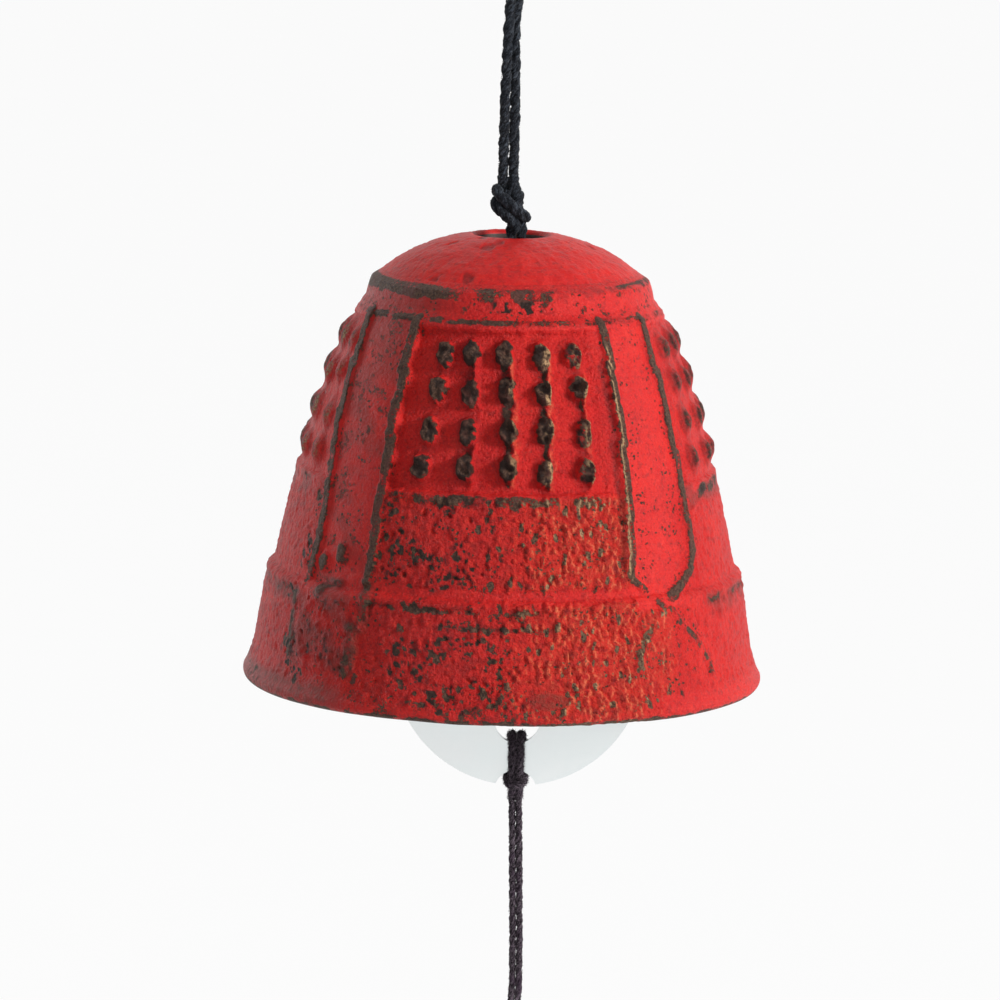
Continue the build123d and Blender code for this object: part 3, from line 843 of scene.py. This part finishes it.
# Edges of the bands beside the front panel, as (degrees from the front, depth)
left_ribs = (
    [(-35.6, 8.9), (-34.8, 15.0), (-34.2, 23.0), (-34.0, 33.0), (-33.9, 38.0), (-34.6, 40.2)],
    [
        (-61.0, 8.9), (-59.7, 15.0), (-57.6, 21.0), (-55.4, 27.5),
        (-53.9, 33.0), (-53.7, 37.0), (-55.2, 41.2),
    ],
)
left_stems = (
    [(-34.4, 40.6), (-32.9, 42.6), (-33.3, 45.8)],
    [(-36.0, 46.2), (-35.8, 48.7), (-36.8, 51.4)],
    [(-57.4, 43.4), (-56.8, 45.6), (-56.4, 50.6)],
    [(-47.8, 42.3), (-45.6, 41.4), (-42.8, 41.3)],
)
right_ribs = (
    [(37.4, 8.9), (36.8, 14.0), (36.2, 23.0), (35.6, 32.0), (34.9, 36.4), (34.2, 38.6)],
    [
        (57.8, 8.9), (56.7, 15.0), (56.4, 25.0), (56.9, 33.0),
        (56.9, 37.0), (54.6, 39.0), (50.2, 40.7), (45.4, 42.0),
    ],
)
right_stems = (
    [
        (34.6, 39.2), (38.0, 40.7), (40.6, 41.9), (42.2, 43.0),
        (40.0, 44.4), (36.2, 46.6), (34.5, 48.3), (34.4, 51.3),
    ],
    [(44.6, 43.2), (47.3, 45.0), (51.8, 47.2), (56.0, 50.2), (57.2, 51.6)],
)


def edge_angle(route, depth):
    """Azimuth of a band's edge at each depth."""
    upright = [(a, d) for a, d in route if d < 38.4]
    return np.interp(depth, [d for a, d in upright], [a for a, d in upright])


def bell_rows():
    """Rows of the outer surface from the hole's edge to the rim, with the part that each is on."""
    stretches = (
        ("crown", bowed((0.5, hole_radius), (0.0, hole_radius + 0.45), 0.08, 0.16)),
        ("crown", bowed((0.0, hole_radius + 0.45), crown_edge, 0.85, 0.34)),
        ("collar", bowed(crown_edge, collar_top, 0.0, 0.2)),
        ("collar", bowed(collar_top, collar_edge, 0.05, 0.2)),
        ("frame", bowed(collar_edge, frame_top, -0.12, 0.2)),
        ("wall", bowed(frame_top, waist, 0.72, 0.23)),
        ("wall", bowed(waist, ridge_inner, 0.1, 0.23)),
        ("skirt", bowed(ridge_inner, skirt_top, 0.05, 0.2)),
        ("skirt", bowed(skirt_top, skirt_end, 0.0, 0.23)),
        ("lip", bowed(skirt_end, lip_edge, -0.25, 0.23)),
        ("rim", bowed(lip_edge, rim_outer, 0.35, 0.18)),
        ("rim", np.array([rim_outer])),
    )
    rows = np.concatenate([points for part, points in stretches])
    parts = np.concatenate([[part] * len(points) for part, points in stretches])
    return rows, parts


outer_rows, outer_parts = bell_rows()
wall_depths = np.maximum.accumulate(outer_rows[:, 0] + np.arange(len(outer_rows)) * 1e-7)
wall_radii = outer_rows[:, 1]


def scatter_marks(depth, radius, azimuth, skin, right_share, fine, cluster):
    """Lumps, pits and rubbed spots at seeded places on the rough skin: height, wear and painted shade in
    the pits.
    """
    places = 19000
    highest = 29.5
    lowest = 55.4
    grid_step = 0.15
    # Of lumps and of pits: least and greatest width, least and greatest stretch, and steepest lean
    lump_shape = (0.24, 0.52, 1.1, 2.2, 0.5)
    pit_shape = (0.14, 0.36, 0.9, 1.8, 1.2)
    rng = np.random.default_rng(31)
    height = np.zeros_like(depth)
    rubbed = np.zeros_like(depth)
    dark = np.zeros_like(depth)
    column = depth[:, 0]
    turn_step = 360 / len(azimuth)
    depths = rng.uniform(highest, lowest, places)
    angles = rng.uniform(-180, 180, places)
    chances = rng.uniform(0, 1, places)
    for depth_here, angle_here, chance in zip(depths, angles, chances):
        row = min(int(np.searchsorted(column, depth_here)), len(column) - 1)
        centre = int((angle_here + 180) / turn_step) % len(azimuth)
        strength = skin[row, centre]
        if strength < 0.2:
            continue
        right = right_share[row, centre]
        lump = chance < 0.42 + 0.36 * right
        least, greatest, short, stretched, lean = lump_shape if lump else pit_shape
        size = rng.uniform(least, greatest - 0.12 * right)
        long = size * rng.uniform(short, stretched)
        tilt = rng.uniform(-lean, lean)
        reach = int(long * 1.7 / grid_step) + 2
        rows = np.arange(max(0, row - reach), min(len(column), row + reach + 1))
        columns = np.arange(centre - reach, centre + reach + 1) % len(azimuth)
        block = np.ix_(rows, columns)
        u = np.radians((azimuth[columns][None] - angle_here + 180) % 360 - 180) * radius[block]
        v = depth[block] - depth_here
        across = (u * math.cos(tilt) + v * math.sin(tilt)) / size
        along = (-u * math.sin(tilt) + v * math.cos(tilt)) / long
        far = np.hypot(across, along) + 0.5 * fine[block]
        inside = 1 - smooth(0.6, 1.08, far)
        gathered = float(smooth(-0.25, 0.45, cluster[row, centre])) * (1 - 0.85 * right)
        if lump:
            height[block] = np.maximum(height[block], strength * (0.17 + 0.22 * right) * inside)
            if chance < 0.02 + 0.03 * right:
                rubbed[block] = np.maximum(rubbed[block], 0.9 * inside)
        elif chance < 0.86:
            height[block] = np.minimum(height[block], -0.24 * inside * strength)
            # Painted shade in the pit
            dark[block] = np.maximum(dark[block], 1.3 * inside * gathered)
            if chance > 0.66:
                rubbed[block] = np.maximum(rubbed[block], 0.95 * inside * gathered)
        else:
            rubbed[block] = np.maximum(rubbed[block], 0.85 * (1 - smooth(0.7, 1.0, far)) * gathered)
    return height, rubbed, dark


# The outer surface as a grid of rows and azimuths, in degrees from the front and millimetres
azimuth = np.linspace(-180, 180, azimuth_steps, endpoint=False)
depth = np.repeat(outer_rows[:, 0][:, None], azimuth_steps, 1)
radius = np.repeat(outer_rows[:, 1][:, None], azimuth_steps, 1)
part = np.repeat(outer_parts[:, None], azimuth_steps, 1)
angle = np.repeat(azimuth[None], len(outer_rows), 0)
turn = np.radians(angle)
base = np.stack([radius * np.sin(turn), -radius * np.cos(turn), -depth], -1)

# Noise over the surface, each named after the size of its lumps in millimetres
coarse = Grain(101)
middle = Grain(102)
fine = Grain(103)
n12 = coarse.at(base, 12.0)
n5 = coarse.at(base + 40, 5.0)
n2 = middle.at(base, 2.2)
n1 = middle.at(base + 70, 1.1)
n07 = fine.at(base, 0.72)
n04 = fine.at(base + 30, 0.45)
m1 = coarse.at(base + 210, 0.95)
m06 = coarse.at(base + 160, 0.62)
upright_grain = fine.at(base + 90, 0.55, stretch=(1, 1, 3.2))

# Ragged edges: the pattern is looked up at slightly wandering places
a = angle + np.degrees((0.10 * n1 + 0.11 * n07 + 0.08 * n04) / radius)
d = depth + 0.14 * n2 + 0.12 * n07 + 0.06 * n04

# What the paint shows at each point: bare metal, painted shade, specks, a painted golden glint and a dark
# film
wear = np.zeros_like(depth)
painted_shade = np.zeros_like(depth)
specks = np.full_like(depth, 0.15)
painted_glint = np.zeros_like(depth)
stain = np.zeros_like(depth)

# How far inside a band each point is, in millimetres, and negative on the panels
in_band = np.full_like(depth, -1e3)
for opposite in (0, 180):
    for outer, inner, lean in ((left_ribs[1], left_ribs[0], -48), (right_ribs[0], right_ribs[1], 47)):
        centre = lean + opposite
        u = arc_from(a, centre, radius)
        low_side = np.radians(edge_angle(outer, depth) - lean) * radius
        high_side = np.radians(edge_angle(inner, depth) - lean) * radius
        in_band = np.maximum(in_band, np.minimum(u - low_side, high_side - u))
side_start = np.where(angle * (np.abs(angle) - 90) < 0, 47, 56)
side_panel = window(np.abs(angle), side_start, side_start + 6, side_start + 71, side_start + 77)
panel_angle = (angle + 45) % 90 - 45
right_edge = smooth(16, 30, panel_angle)
on_panel = smooth(0.35, 0.95 + 2.4 * right_edge, -in_band)
from_front = np.abs((angle + 90) % 180 - 90)
front_zone = smooth(47, 42, from_front)
right_share = smooth(-14, 20, panel_angle) * front_zone

wall = (part == "wall").astype(float)
upper = window(d, field_top - 0.1, field_top + 0.35, field_bottom - 0.15, field_bottom + 0.35)
field = on_panel * upper
lower = on_panel * smooth(ledge_bottom - 1.6, ledge_bottom + 1.0, d)
offset = wall * (band_level * (1 - on_panel) + on_panel * -0.08)
quarter_side = window(np.abs(angle), 56, 62, 118, 124)
offset = offset * (1 - field) + field_level * (1 - 0.45 * quarter_side) * field
offset -= 0.35 * quarter_side * window(depth, 8.2, 9.0, 9.3, 10.5)
offset = offset * (1 - lower) + lower_level * lower * wall

# Rough skin below the panels: lumps with creases between them, and pits
skin = smooth(field_bottom, field_bottom + 1.2, depth) * smooth(-0.2, 0.7, -in_band)
skin = np.maximum(skin, smooth(42.6, 43.6, depth) * 0.9)
lip = smooth(52.6, 54.0, depth + 0.5 * n5)
smooth_lip = lip * smooth(32, 42, from_front)
skin *= (1 - 0.8 * smooth_lip) * (1 - 0.86 * side_panel)
skin *= 1 - 0.75 * window(d, 39.9, 40.6, 41.9, 42.3)
skin *= 1 - 0.85 * smooth(54.3, 55.2, depth) * (1 - 0.85 * right_share)
offset += skin * (0.075 * n04 + 0.06 * m06 + 0.05 * m1 + 0.05 * n2)
wear += skin * 0.20 * smooth(0.0, 0.5, n2 + 0.4 * n5) * smooth(0.0, 0.45, m06)
# Painted shade in the creases
painted_shade += skin * 0.45 * smooth(0.15, 0.55, n07) * smooth(0.5, -0.5, n2)
specks += 0.6 * skin
raised, rubbed, dark = scatter_marks(depth, radius, azimuth, skin, right_share, n04, n2 + 0.9 * n5)
offset += raised
wear += rubbed
# Painted shade in the pits
painted_shade += dark
# Painted golden glint on the skin, more on the right where the light falls
painted_glint += skin * (0.10 + 1.1 * smooth(-4, 22, panel_angle)) * front_zone

# The panel's own floor: softly uneven paint
offset += field * (0.07 * n1 + 0.06 * n2 + 0.035 * n04)
specks += 0.15 * field

# The bands are smooth, mottled on the left and peppered with small bare spots
band = smooth(0.2, 0.8, in_band) * window(depth, *band_span)
offset += band * (0.03 * n1 + 0.02 * n04)
specks += 0.75 * band
turned_left = smooth(0, -40, angle) * (angle > -120)
stain += band * turned_left * smooth(-0.35, 0.35, n2 + 0.5 * n5) * 0.55
wear += band * turned_left * 0.42 * smooth(0.1, 0.5, n1 + 0.4 * n2)

# Lines above and below the panels
frame_line = window(d, *frame_line_span)
right_part = smooth(12, 30, angle) * (angle < 110)
wear += frame_line * (0.56 - 0.16 * right_part + 0.34 * n2 + 0.25 * n5) * smooth(-0.55, -0.05, n1 + n2)
# Painted shade along the frame line
painted_shade += 0.5 * frame_line * smooth(-0.2, 0.3, n04)
specks += 0.5 * frame_line
offset += 0.10 * frame_line * n1
ledge_line = window(d, *ledge_line_span) * on_panel
left_more = smooth(25, -20, panel_angle)
ledge_wear = ledge_line * (0.38 + 0.34 * left_more + 0.30 * n2 + 0.2 * n07) * (1 - 0.5 * side_panel)
wear += ledge_wear * smooth(-0.8, -0.1, n1 + 0.6 * n2)
on_side = smooth(43, 47, from_front) * on_panel
side_patch = smooth(28.7, 29.4, d) * smooth(32.4, 31.2, d + 0.8 * n2)
side_patch += smooth(41.9, 42.6, d) * smooth(45.0, 43.9, d + 0.8 * n2)
side_patch *= on_side
stain += 0.85 * side_patch * smooth(-0.6, 0.0, n2 + 0.6 * n1)
wear += side_patch * (0.24 + 0.30 * n1 + 0.20 * n07) * smooth(-0.4, 0.3, n2 + 0.5 * n5)
# Painted shade along the ledge line, more on the left, away from the light
painted_shade += ledge_line * left_more * smooth(0.0, 0.5, m06 + n2 * 0.6)
offset += 0.12 * ledge_line * n07


def add_boss(centre, here, jitter, row, column, facing):
    """A boss with its worn top and, on the facing panels, the run of paint down its right-hand side. Shade
    is painted on the top, round the foot and left of the run, and a golden glint on some right-hand edges
    and crests.
    """
    reach_across = 3.0
    reach_down = 6.0
    run_shift = 0.85
    run_width = 0.34
    u0 = arc_from(angle, centre, radius)
    near = (np.abs(u0) < reach_across) & (np.abs(depth - here) < reach_down)
    if not near.any():
        return
    rough = 1 if facing else 0.15
    u = (u0 + rough * (0.17 * n1 + 0.16 * n07 + 0.08 * n04))[near]
    v = (depth - here + rough * (0.22 * n2 + 0.14 * n07))[near]
    wide = boss_half_width * (1 + 0.10 * jitter[2])
    tall = boss_half_height * (1 + 0.10 * jitter[3])
    far = np.hypot(u / wide, v / tall)
    top = 1 - (smooth(0.66, 1.06, far) if facing else smooth(0.2, 1.25, far))
    skirt = 1 - smooth(0.8, 1.5, far)
    lump = 1 + rough * (0.25 * n1[near] + 0.32 * n07[near] + 0.26 * n04[near])
    height = 0.84 if facing else 0.64
    offset[near] += height * top * lump * (1 + 0.08 * jitter[4]) + 0.20 * skirt
    bare = (1 - smooth(0.70, 1.02, far + 0.2 * n04[near])) * boss_bare[column]
    # Painted shade in patches on the top
    painted_shade[near] += 1.1 * rough * top * smooth(-0.25, 0.35, -n04[near] - 0.4 * n1[near])
    if not facing:
        stain[near] += 0.9 * bare
        bare *= 0.62 * smooth(0.95, 0.6, far)
    wear[near] += bare * (0.86 + 0.10 * jitter[5])
    if column >= 3:
        # Painted glint on the right-hand side of the top
        painted_glint[near] += bare * smooth(-0.6, 0.6, u)
    # Painted shade round the foot
    painted_shade[near] += 0.30 * window(far, 0.95, 1.1, 1.15, 1.55)
    if column and facing:
        run = u0[near] - run_shift + 0.50 * n2[near] + 0.32 * n1[near] + 0.20 * n07[near]
        ends = window(v, 0.2, 1.4, 4.2, 5.2)
        if row == len(boss_rows) - 1:
            ends *= smooth(2.6, 1.6, v)
        likelier = 0.35 if column in (1, 2, 3) else -0.1
        shown = ends * smooth(-0.55, 0.15, n2[near] + 0.6 * jitter[6] + likelier)
        crest = hump(run, 0, run_width) * shown
        offset[near] += 0.62 * crest * (1 + 0.7 * n07[near] + 0.5 * n04[near])
        inner = hump(run, -0.55, 0.42) * shown
        wear[near] += 0.70 * inner * smooth(-0.45, 0.1, n1[near])
        # Painted glint on the run's crest
        painted_glint[near] += 0.7 * crest * (column >= 2)
        wear[near] += 0.22 * crest * smooth(0.0, 0.5, n07[near])
        # Painted shade left of the run
        painted_shade[near] += 0.55 * hump(run, -0.85, 0.35) * shown


# Bosses: the panels at the front and back have ragged ones, and the two at the sides softer ones
rng = np.random.default_rng(7)
for quarter in range(4):
    for row, places in enumerate(boss_rows):
        for column, (boss_angle, boss_depth) in enumerate(places):
            jitter = rng.uniform(-1, 1, 8) * (1 if quarter else 0.5)
            centre = quarter * 90 + boss_angle + 0.5 * jitter[0]
            here = boss_depth + 0.15 * jitter[1]
            add_boss(centre, here, jitter, row, column, quarter in (0, 2))


def nearest(left_routes, right_routes, shift=0):
    """Distance in millimetres from the nearest route, beside the front panel or the one opposite."""
    best = np.full(a.shape, 1e3)
    for opposite in (0, 180):
        for routes, centre in ((left_routes, opposite - 45), (right_routes, opposite + 45)):
            for route in routes:
                line = [(at + opposite + shift, low) for at, low in route]
                best = np.minimum(best, route_distance(a, d, radius, line, centre))
    return best


# Ribs along the bands, the seats' stems below the left bands and the feet below the right
rib = nearest(left_ribs, right_ribs)
stem = nearest(left_stems, right_stems)
crest_gap = nearest((), right_ribs[:1], -1.5)
in_rib = 1 - smooth(rib_half_width - 0.12, rib_half_width + 0.22, rib)
rib_top = 1 - smooth(rib_half_width - 0.10, rib_half_width + 0.12, rib)
offset = offset * (1 - in_rib) + in_rib * (0.03 + 0.07 * n1 + 0.05 * n04)
wear = wear * (1 - in_rib) + rib_top * (0.76 + 0.12 * n5 + 0.14 * n2 + 0.18 * n1 + 0.20 * n07)
specks += 0.5 * (1 - smooth(0.8, 1.8, rib))
# A rough crest beside the right band's left rib, with a painted golden glint along it and painted shade
# beside it on the panel side
crest = hump(crest_gap, 0, 0.30) * smooth(11.0, 14.0, depth)
offset += 0.52 * crest * (0.9 + 0.8 * n07 + 0.5 * n1 + 0.4 * n04)
painted_glint += 1.6 * hump(crest_gap, 0, 0.55) * smooth(10.0, 13.0, depth)
wear += 0.5 * crest * smooth(-0.2, 0.3, n07)
painted_shade += 0.8 * hump(crest_gap, 0.55, 0.35) * smooth(0.0, 0.3, -in_band) * smooth(11, 14, depth)
in_stem = 1 - smooth(0.30, 0.80, stem + 0.12 * n1)
offset += 0.20 * in_stem
wear += in_stem * (0.52 + 0.42 * n1 + 0.30 * n2 + 0.34 * n07)
stain += 0.8 * (1 - smooth(0.5, 1.2, stem)) * smooth(15, -15, angle)
specks += 0.6 * (1 - smooth(0.8, 2.2, stem))

# Below the ridge the left bands end in a striking seat, and the right bands in a flared foot
for centre in (-45, 135):
    u = arc_from(a, centre, radius)
    seat = smooth(6.3, 5.5, np.abs(u)) * window(d, *seat_span)
    offset += 0.30 * seat
    ring = np.hypot(u, depth - seat_middle_depth)
    offset += 0.16 * hump(ring, 4.4, 0.5) * seat
    wear *= 1 - 0.5 * seat * (1 - in_stem)
    stain += 0.8 * seat * smooth(-0.4, 0.3, n2)
    for shift, drop in ((-2.6, 38.9), (0.5, 37.6)):
        far = np.hypot((u - shift) / 1.0, (depth - drop) / 1.45)
        offset += 0.40 * (1 - smooth(0.5, 1.15, far))
        wear += 0.80 * (1 - smooth(0.5, 0.98, far + 0.15 * n07))
for centre in (45, 225):
    u = arc_from(a, centre - 1.5, radius)
    half_width = np.interp(depth, [42.4, 43.2, 47.0, 51.5], [1.6, 0.7, 4.4, 6.3])
    plate = smooth(0.3, -0.3, np.abs(u) - half_width) * window(depth, *foot_span)
    offset = offset * (1 - 0.6 * plate) + 0.20 * plate
    painted_shade *= 1 - 0.7 * plate
    wear *= 1 - 0.55 * plate * (1 - in_stem)
    specks += 0.35 * plate
    aslant = u + 0.25 * (depth - 49.5) - 0.12 * n1
    scratch = hump(aslant, -1.3, 0.16) * window(depth, 47.6, 48.2, 50.6, 51.2)
    offset -= 0.20 * scratch
    # Painted shade in the scratch
    painted_shade += 0.9 * scratch

# The ridge above the skirt, a fainter line below it and the worn lip, with painted shade in the lines and
# in patches on the lip
clear = np.clip(smooth(0.2, 1.2, -in_band) + smooth(43.5, 44.5, depth), 0, 1)
offset += 0.08 * hump(d, ridge_depth, ridge_width)
under = hump(d, under_ridge_depth, ridge_width) * clear * (1 - 0.2 * side_panel)
under_wear = under * (0.28 + 0.65 * left_more + 0.35 * n2) * (1 - 0.4 * on_side)
wear += under_wear * smooth(-0.8, -0.2, n1 + 0.5 * n5)
painted_shade += under * (0.2 + 0.7 * left_more) * smooth(-0.1, 0.5, n07 + 0.5 * n1)
offset -= 0.14 * under
skin_calm = hump(depth, 41.2, 0.9) * clear
painted_shade *= 1 - 0.8 * skin_calm
wear *= 1 - 0.7 * skin_calm
second = hump(d, second_line_depth, 0.40) * smooth(-0.3, 0.4, n5 + 0.3 * n2)
wear += (0.35 + 0.35 * left_more) * second * clear * (1 - side_panel)
painted_shade += 0.6 * second * clear * smooth(-0.2, 0.5, n07)
wear += lip * (1 - smooth_lip) * (0.30 * left_more + 0.26 + 0.22 * n2) * smooth(-0.3, 0.3, n1 + n07)
painted_shade += lip * (1 - smooth_lip) * 0.5 * smooth(0.1, 0.5, m06)
offset *= 1 - 0.5 * smooth(53.5, 55.0, depth) * (1 - 0.6 * right_share)
stain += 0.95 * smooth_lip * smooth(10, -10, angle)
wear += smooth_lip * smooth(10, -10, angle) * (0.20 + 0.30 * n2 + 0.25 * n1)
patch = np.hypot(arc_from(angle, 11.6, radius) / 2.7, (depth - 53.4) / 1.05)
calm = 1 - smooth(0.8, 1.15, patch)
painted_shade *= 1 - calm
wear *= 1 - calm
stain += 0.9 * calm
offset = offset * (1 - calm) + 0.02 * calm
rim = smooth(55.70, 56.0, depth + 0.15 * n1)
wear += (0.62 + 0.25 * n1 + 0.2 * n2) * rim

# Collar: a worn upper edge, thickest on the left, with painted shade in patches on the left and in the
# pits, and a painted golden glint on the right
collar_foot = 6.9 - 0.9 * smooth(0, 25, angle) * (angle < 120)
collar_zone = smooth(4.75, 5.1, depth)
collar_zone *= smooth(collar_foot, collar_foot - 0.6, depth + 0.5 * n2 + 0.25 * n1)
left_patch = window(angle, -140, -100, -34, -14)
collar_wear = collar_zone * (0.38 + 0.50 * left_patch + 0.28 * n5 + 0.36 * n2)
wear += collar_wear * smooth(-0.5, 0.0, n1 + n2 + left_patch)
painted_shade += 0.5 * collar_zone * smooth(-25, 0, angle) * smooth(0.0, 0.5, m06)
face_zone = window(depth, *collar_face_span)
specks += 0.7 * face_zone
wear += face_zone * 0.42 * smooth(0.25, 0.6, n1 + 0.3 * n2)
painted_glint += collar_zone * smooth(-10, 20, angle) * (angle < 100)
pits = window(d, 6.2, 6.6, 7.6, 8.0) * window(angle, -9, -3, 9, 20)
pits *= smooth(-0.05, 0.3, n07 + 0.7 * n04)
wear += 0.8 * pits
painted_shade += 1.1 * pits
# A worn patch on the right that also gets the painted golden glint
shimmer = window(depth, 4.9, 5.3, 6.4, 7.4) * window(angle, 1, 6, 15, 24)
wear += shimmer * (0.40 + 0.35 * n04 + 0.25 * n1)
painted_glint += 1.2 * shimmer
offset += face_zone * 0.05 * n1
stain += face_zone * left_patch * 0.5

# Upright grain on the steep sides, with painted shade in patches on the left ones, and the crown's faint
# turning marks and pits, with painted shade in the pits
steep = side_panel * window(depth, *steep_side_span)
offset += steep * (0.05 * smooth(-0.1, 0.7, upright_grain) + 0.08 * n04 + 0.05 * m06)
painted_shade += 0.4 * steep * smooth(0.1, 0.6, m06) * smooth(-40, -60, angle)
crown = (part == "crown").astype(float)
ring_marks = fine.at(np.stack([radius * 3.2, np.radians(angle) * 0.6, 0 * radius], -1), 1.0)
offset += crown * (0.06 * ring_marks + 0.05 * n2 + 0.06 * n1 + 0.05 * n04)
crown_pits = smooth(0.62, 0.80, fine.at(base + 5, 1.9)) * crown
offset -= 0.13 * crown_pits
painted_shade += 0.7 * crown_pits
specks -= 0.10 * crown
offset += 0.05 * n5 + 0.05 * n12
offset *= smooth(0.0, 1.2, radius - hole_radius)

# The slope to the right at each point, towards the light: slopes that face it keep the painted golden
# glint, and slopes turned from it get painted shade
around = np.radians(360 / azimuth_steps) * radius
to_right = -(np.roll(offset, -1, 1) - np.roll(offset, 1, 1)) / (2 * around)
left_skirt = smooth(43.5, 44.5, depth) * smooth(-4, -12, panel_angle)
painted_shade *= 1 - 0.25 * left_skirt
wear -= 0.10 * left_skirt
# Over the skin on the right of the panel some painted glint stays on every slope
glow = 0.16 * skin * right_share
painted_glint = np.clip(painted_glint, 0, 1) * (glow + (1 - glow) * smooth(0.02, 0.42, to_right))
# Painted shade on slopes turned from the light
turned_away = smooth(-0.18, -0.75, to_right) * np.clip(np.maximum(skin, 0.5 * field) + wear, 0, 1)
painted_shade += (0.85 - 0.70 * right_share - 0.35 * left_skirt) * turned_away

# The points, moved out from the plain profile, and the layers that the paint reads
slope_r = np.gradient(outer_rows[:, 1])
slope_d = np.gradient(outer_rows[:, 0])
size = np.hypot(slope_r, slope_d)
moved_r = radius + offset * (slope_d / size)[:, None]
moved_z = offset * (slope_r / size)[:, None] - depth + top_plane
outer_points = np.stack([moved_r * np.sin(turn), -moved_r * np.cos(turn), moved_z], -1)
layers = {
    "wear": wear,
    "painted_shade": painted_shade,
    "specks": specks,
    "painted_glint": painted_glint,
    "stain": stain,
    "rough_zone": 0.42 + 0.55 * skin + 0.25 * field + 0.2 * steep - 0.27 * crown,
}


def bell_piece():
    """The bell: the painted surface outside, the rim and the plain iron hollow, as one closed mesh."""
    rows, count = outer_points.shape[:2]
    # From the rim's inner edge up the hollow to the hole, as (depth, radius)
    inner_line = np.concatenate([
        np.array([(56.4, 30.9), (56.42, 30.0), (56.3, 29.45)]),
        bowed((55.9, 29.1), cavity_waist, 0.4, 2.2),
        bowed(cavity_waist, cavity_top, 0.4, 2.2),
        bowed(cavity_top, hole_under, 0.7, 1.6),
        np.array([hole_under, (2.2, hole_radius - 0.02), (1.2, hole_radius - 0.02)]),
    ])
    grain = Grain(111)
    turn = np.radians(np.linspace(-180, 180, count, endpoint=False))
    ring_r = inner_line[:, 1][:, None] + 0 * turn[None]
    ring_d = inner_line[:, 0][:, None] + 0 * turn[None]
    inner = np.stack([ring_r * np.sin(turn), -ring_r * np.cos(turn), -ring_d], -1)
    dent = 0.09 * grain.at(inner, 3.0) + 0.05 * grain.at(inner, 1.1)
    scale = 1 - dent / np.maximum(ring_r, 1) * (ring_d > 4) * (ring_d < 55)
    inner[..., 0] *= scale
    inner[..., 1] *= scale
    inner[..., 2] += dent * 0.5 * (ring_d < 55) + top_plane
    points = np.concatenate([outer_points.reshape(-1, 3), inner.reshape(-1, 3)])
    all_rows = rows + len(inner_line)
    faces = lathe_faces(all_rows, count)
    closing = lathe_faces(2, count)
    last = (all_rows - 1) * count
    closing = np.where(closing >= count, closing - count, closing + last)
    faces = np.concatenate([faces, closing])
    piece = mesh_object("bell_casting_dressed", points, faces)
    pad = np.zeros(len(inner_line) * count)
    for name, values in layers.items():
        set_attribute(piece, name, np.concatenate([np.clip(values, 0, 1.5).ravel(), pad]))
    piece.data.materials.append(painted_iron())
    piece.data.materials.append(bare_iron())
    bare = np.zeros(len(piece.data.polygons), np.int32)
    bare[(rows - 1) * count:] = 1
    piece.data.polygons.foreach_set("material_index", bare)
    return piece


bell = bell_piece()
stand_in(bell, "bell", "bell_casting")


# The CAD pieces that stay, in their own materials
def dress(node, material):
    """Give a piece of the CAD this material alone."""
    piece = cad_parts[node]
    piece.data.materials.clear()
    piece.data.materials.append(material)


dress("clapper_disc", disc_material())
dress("toggle_bar", steel_material())
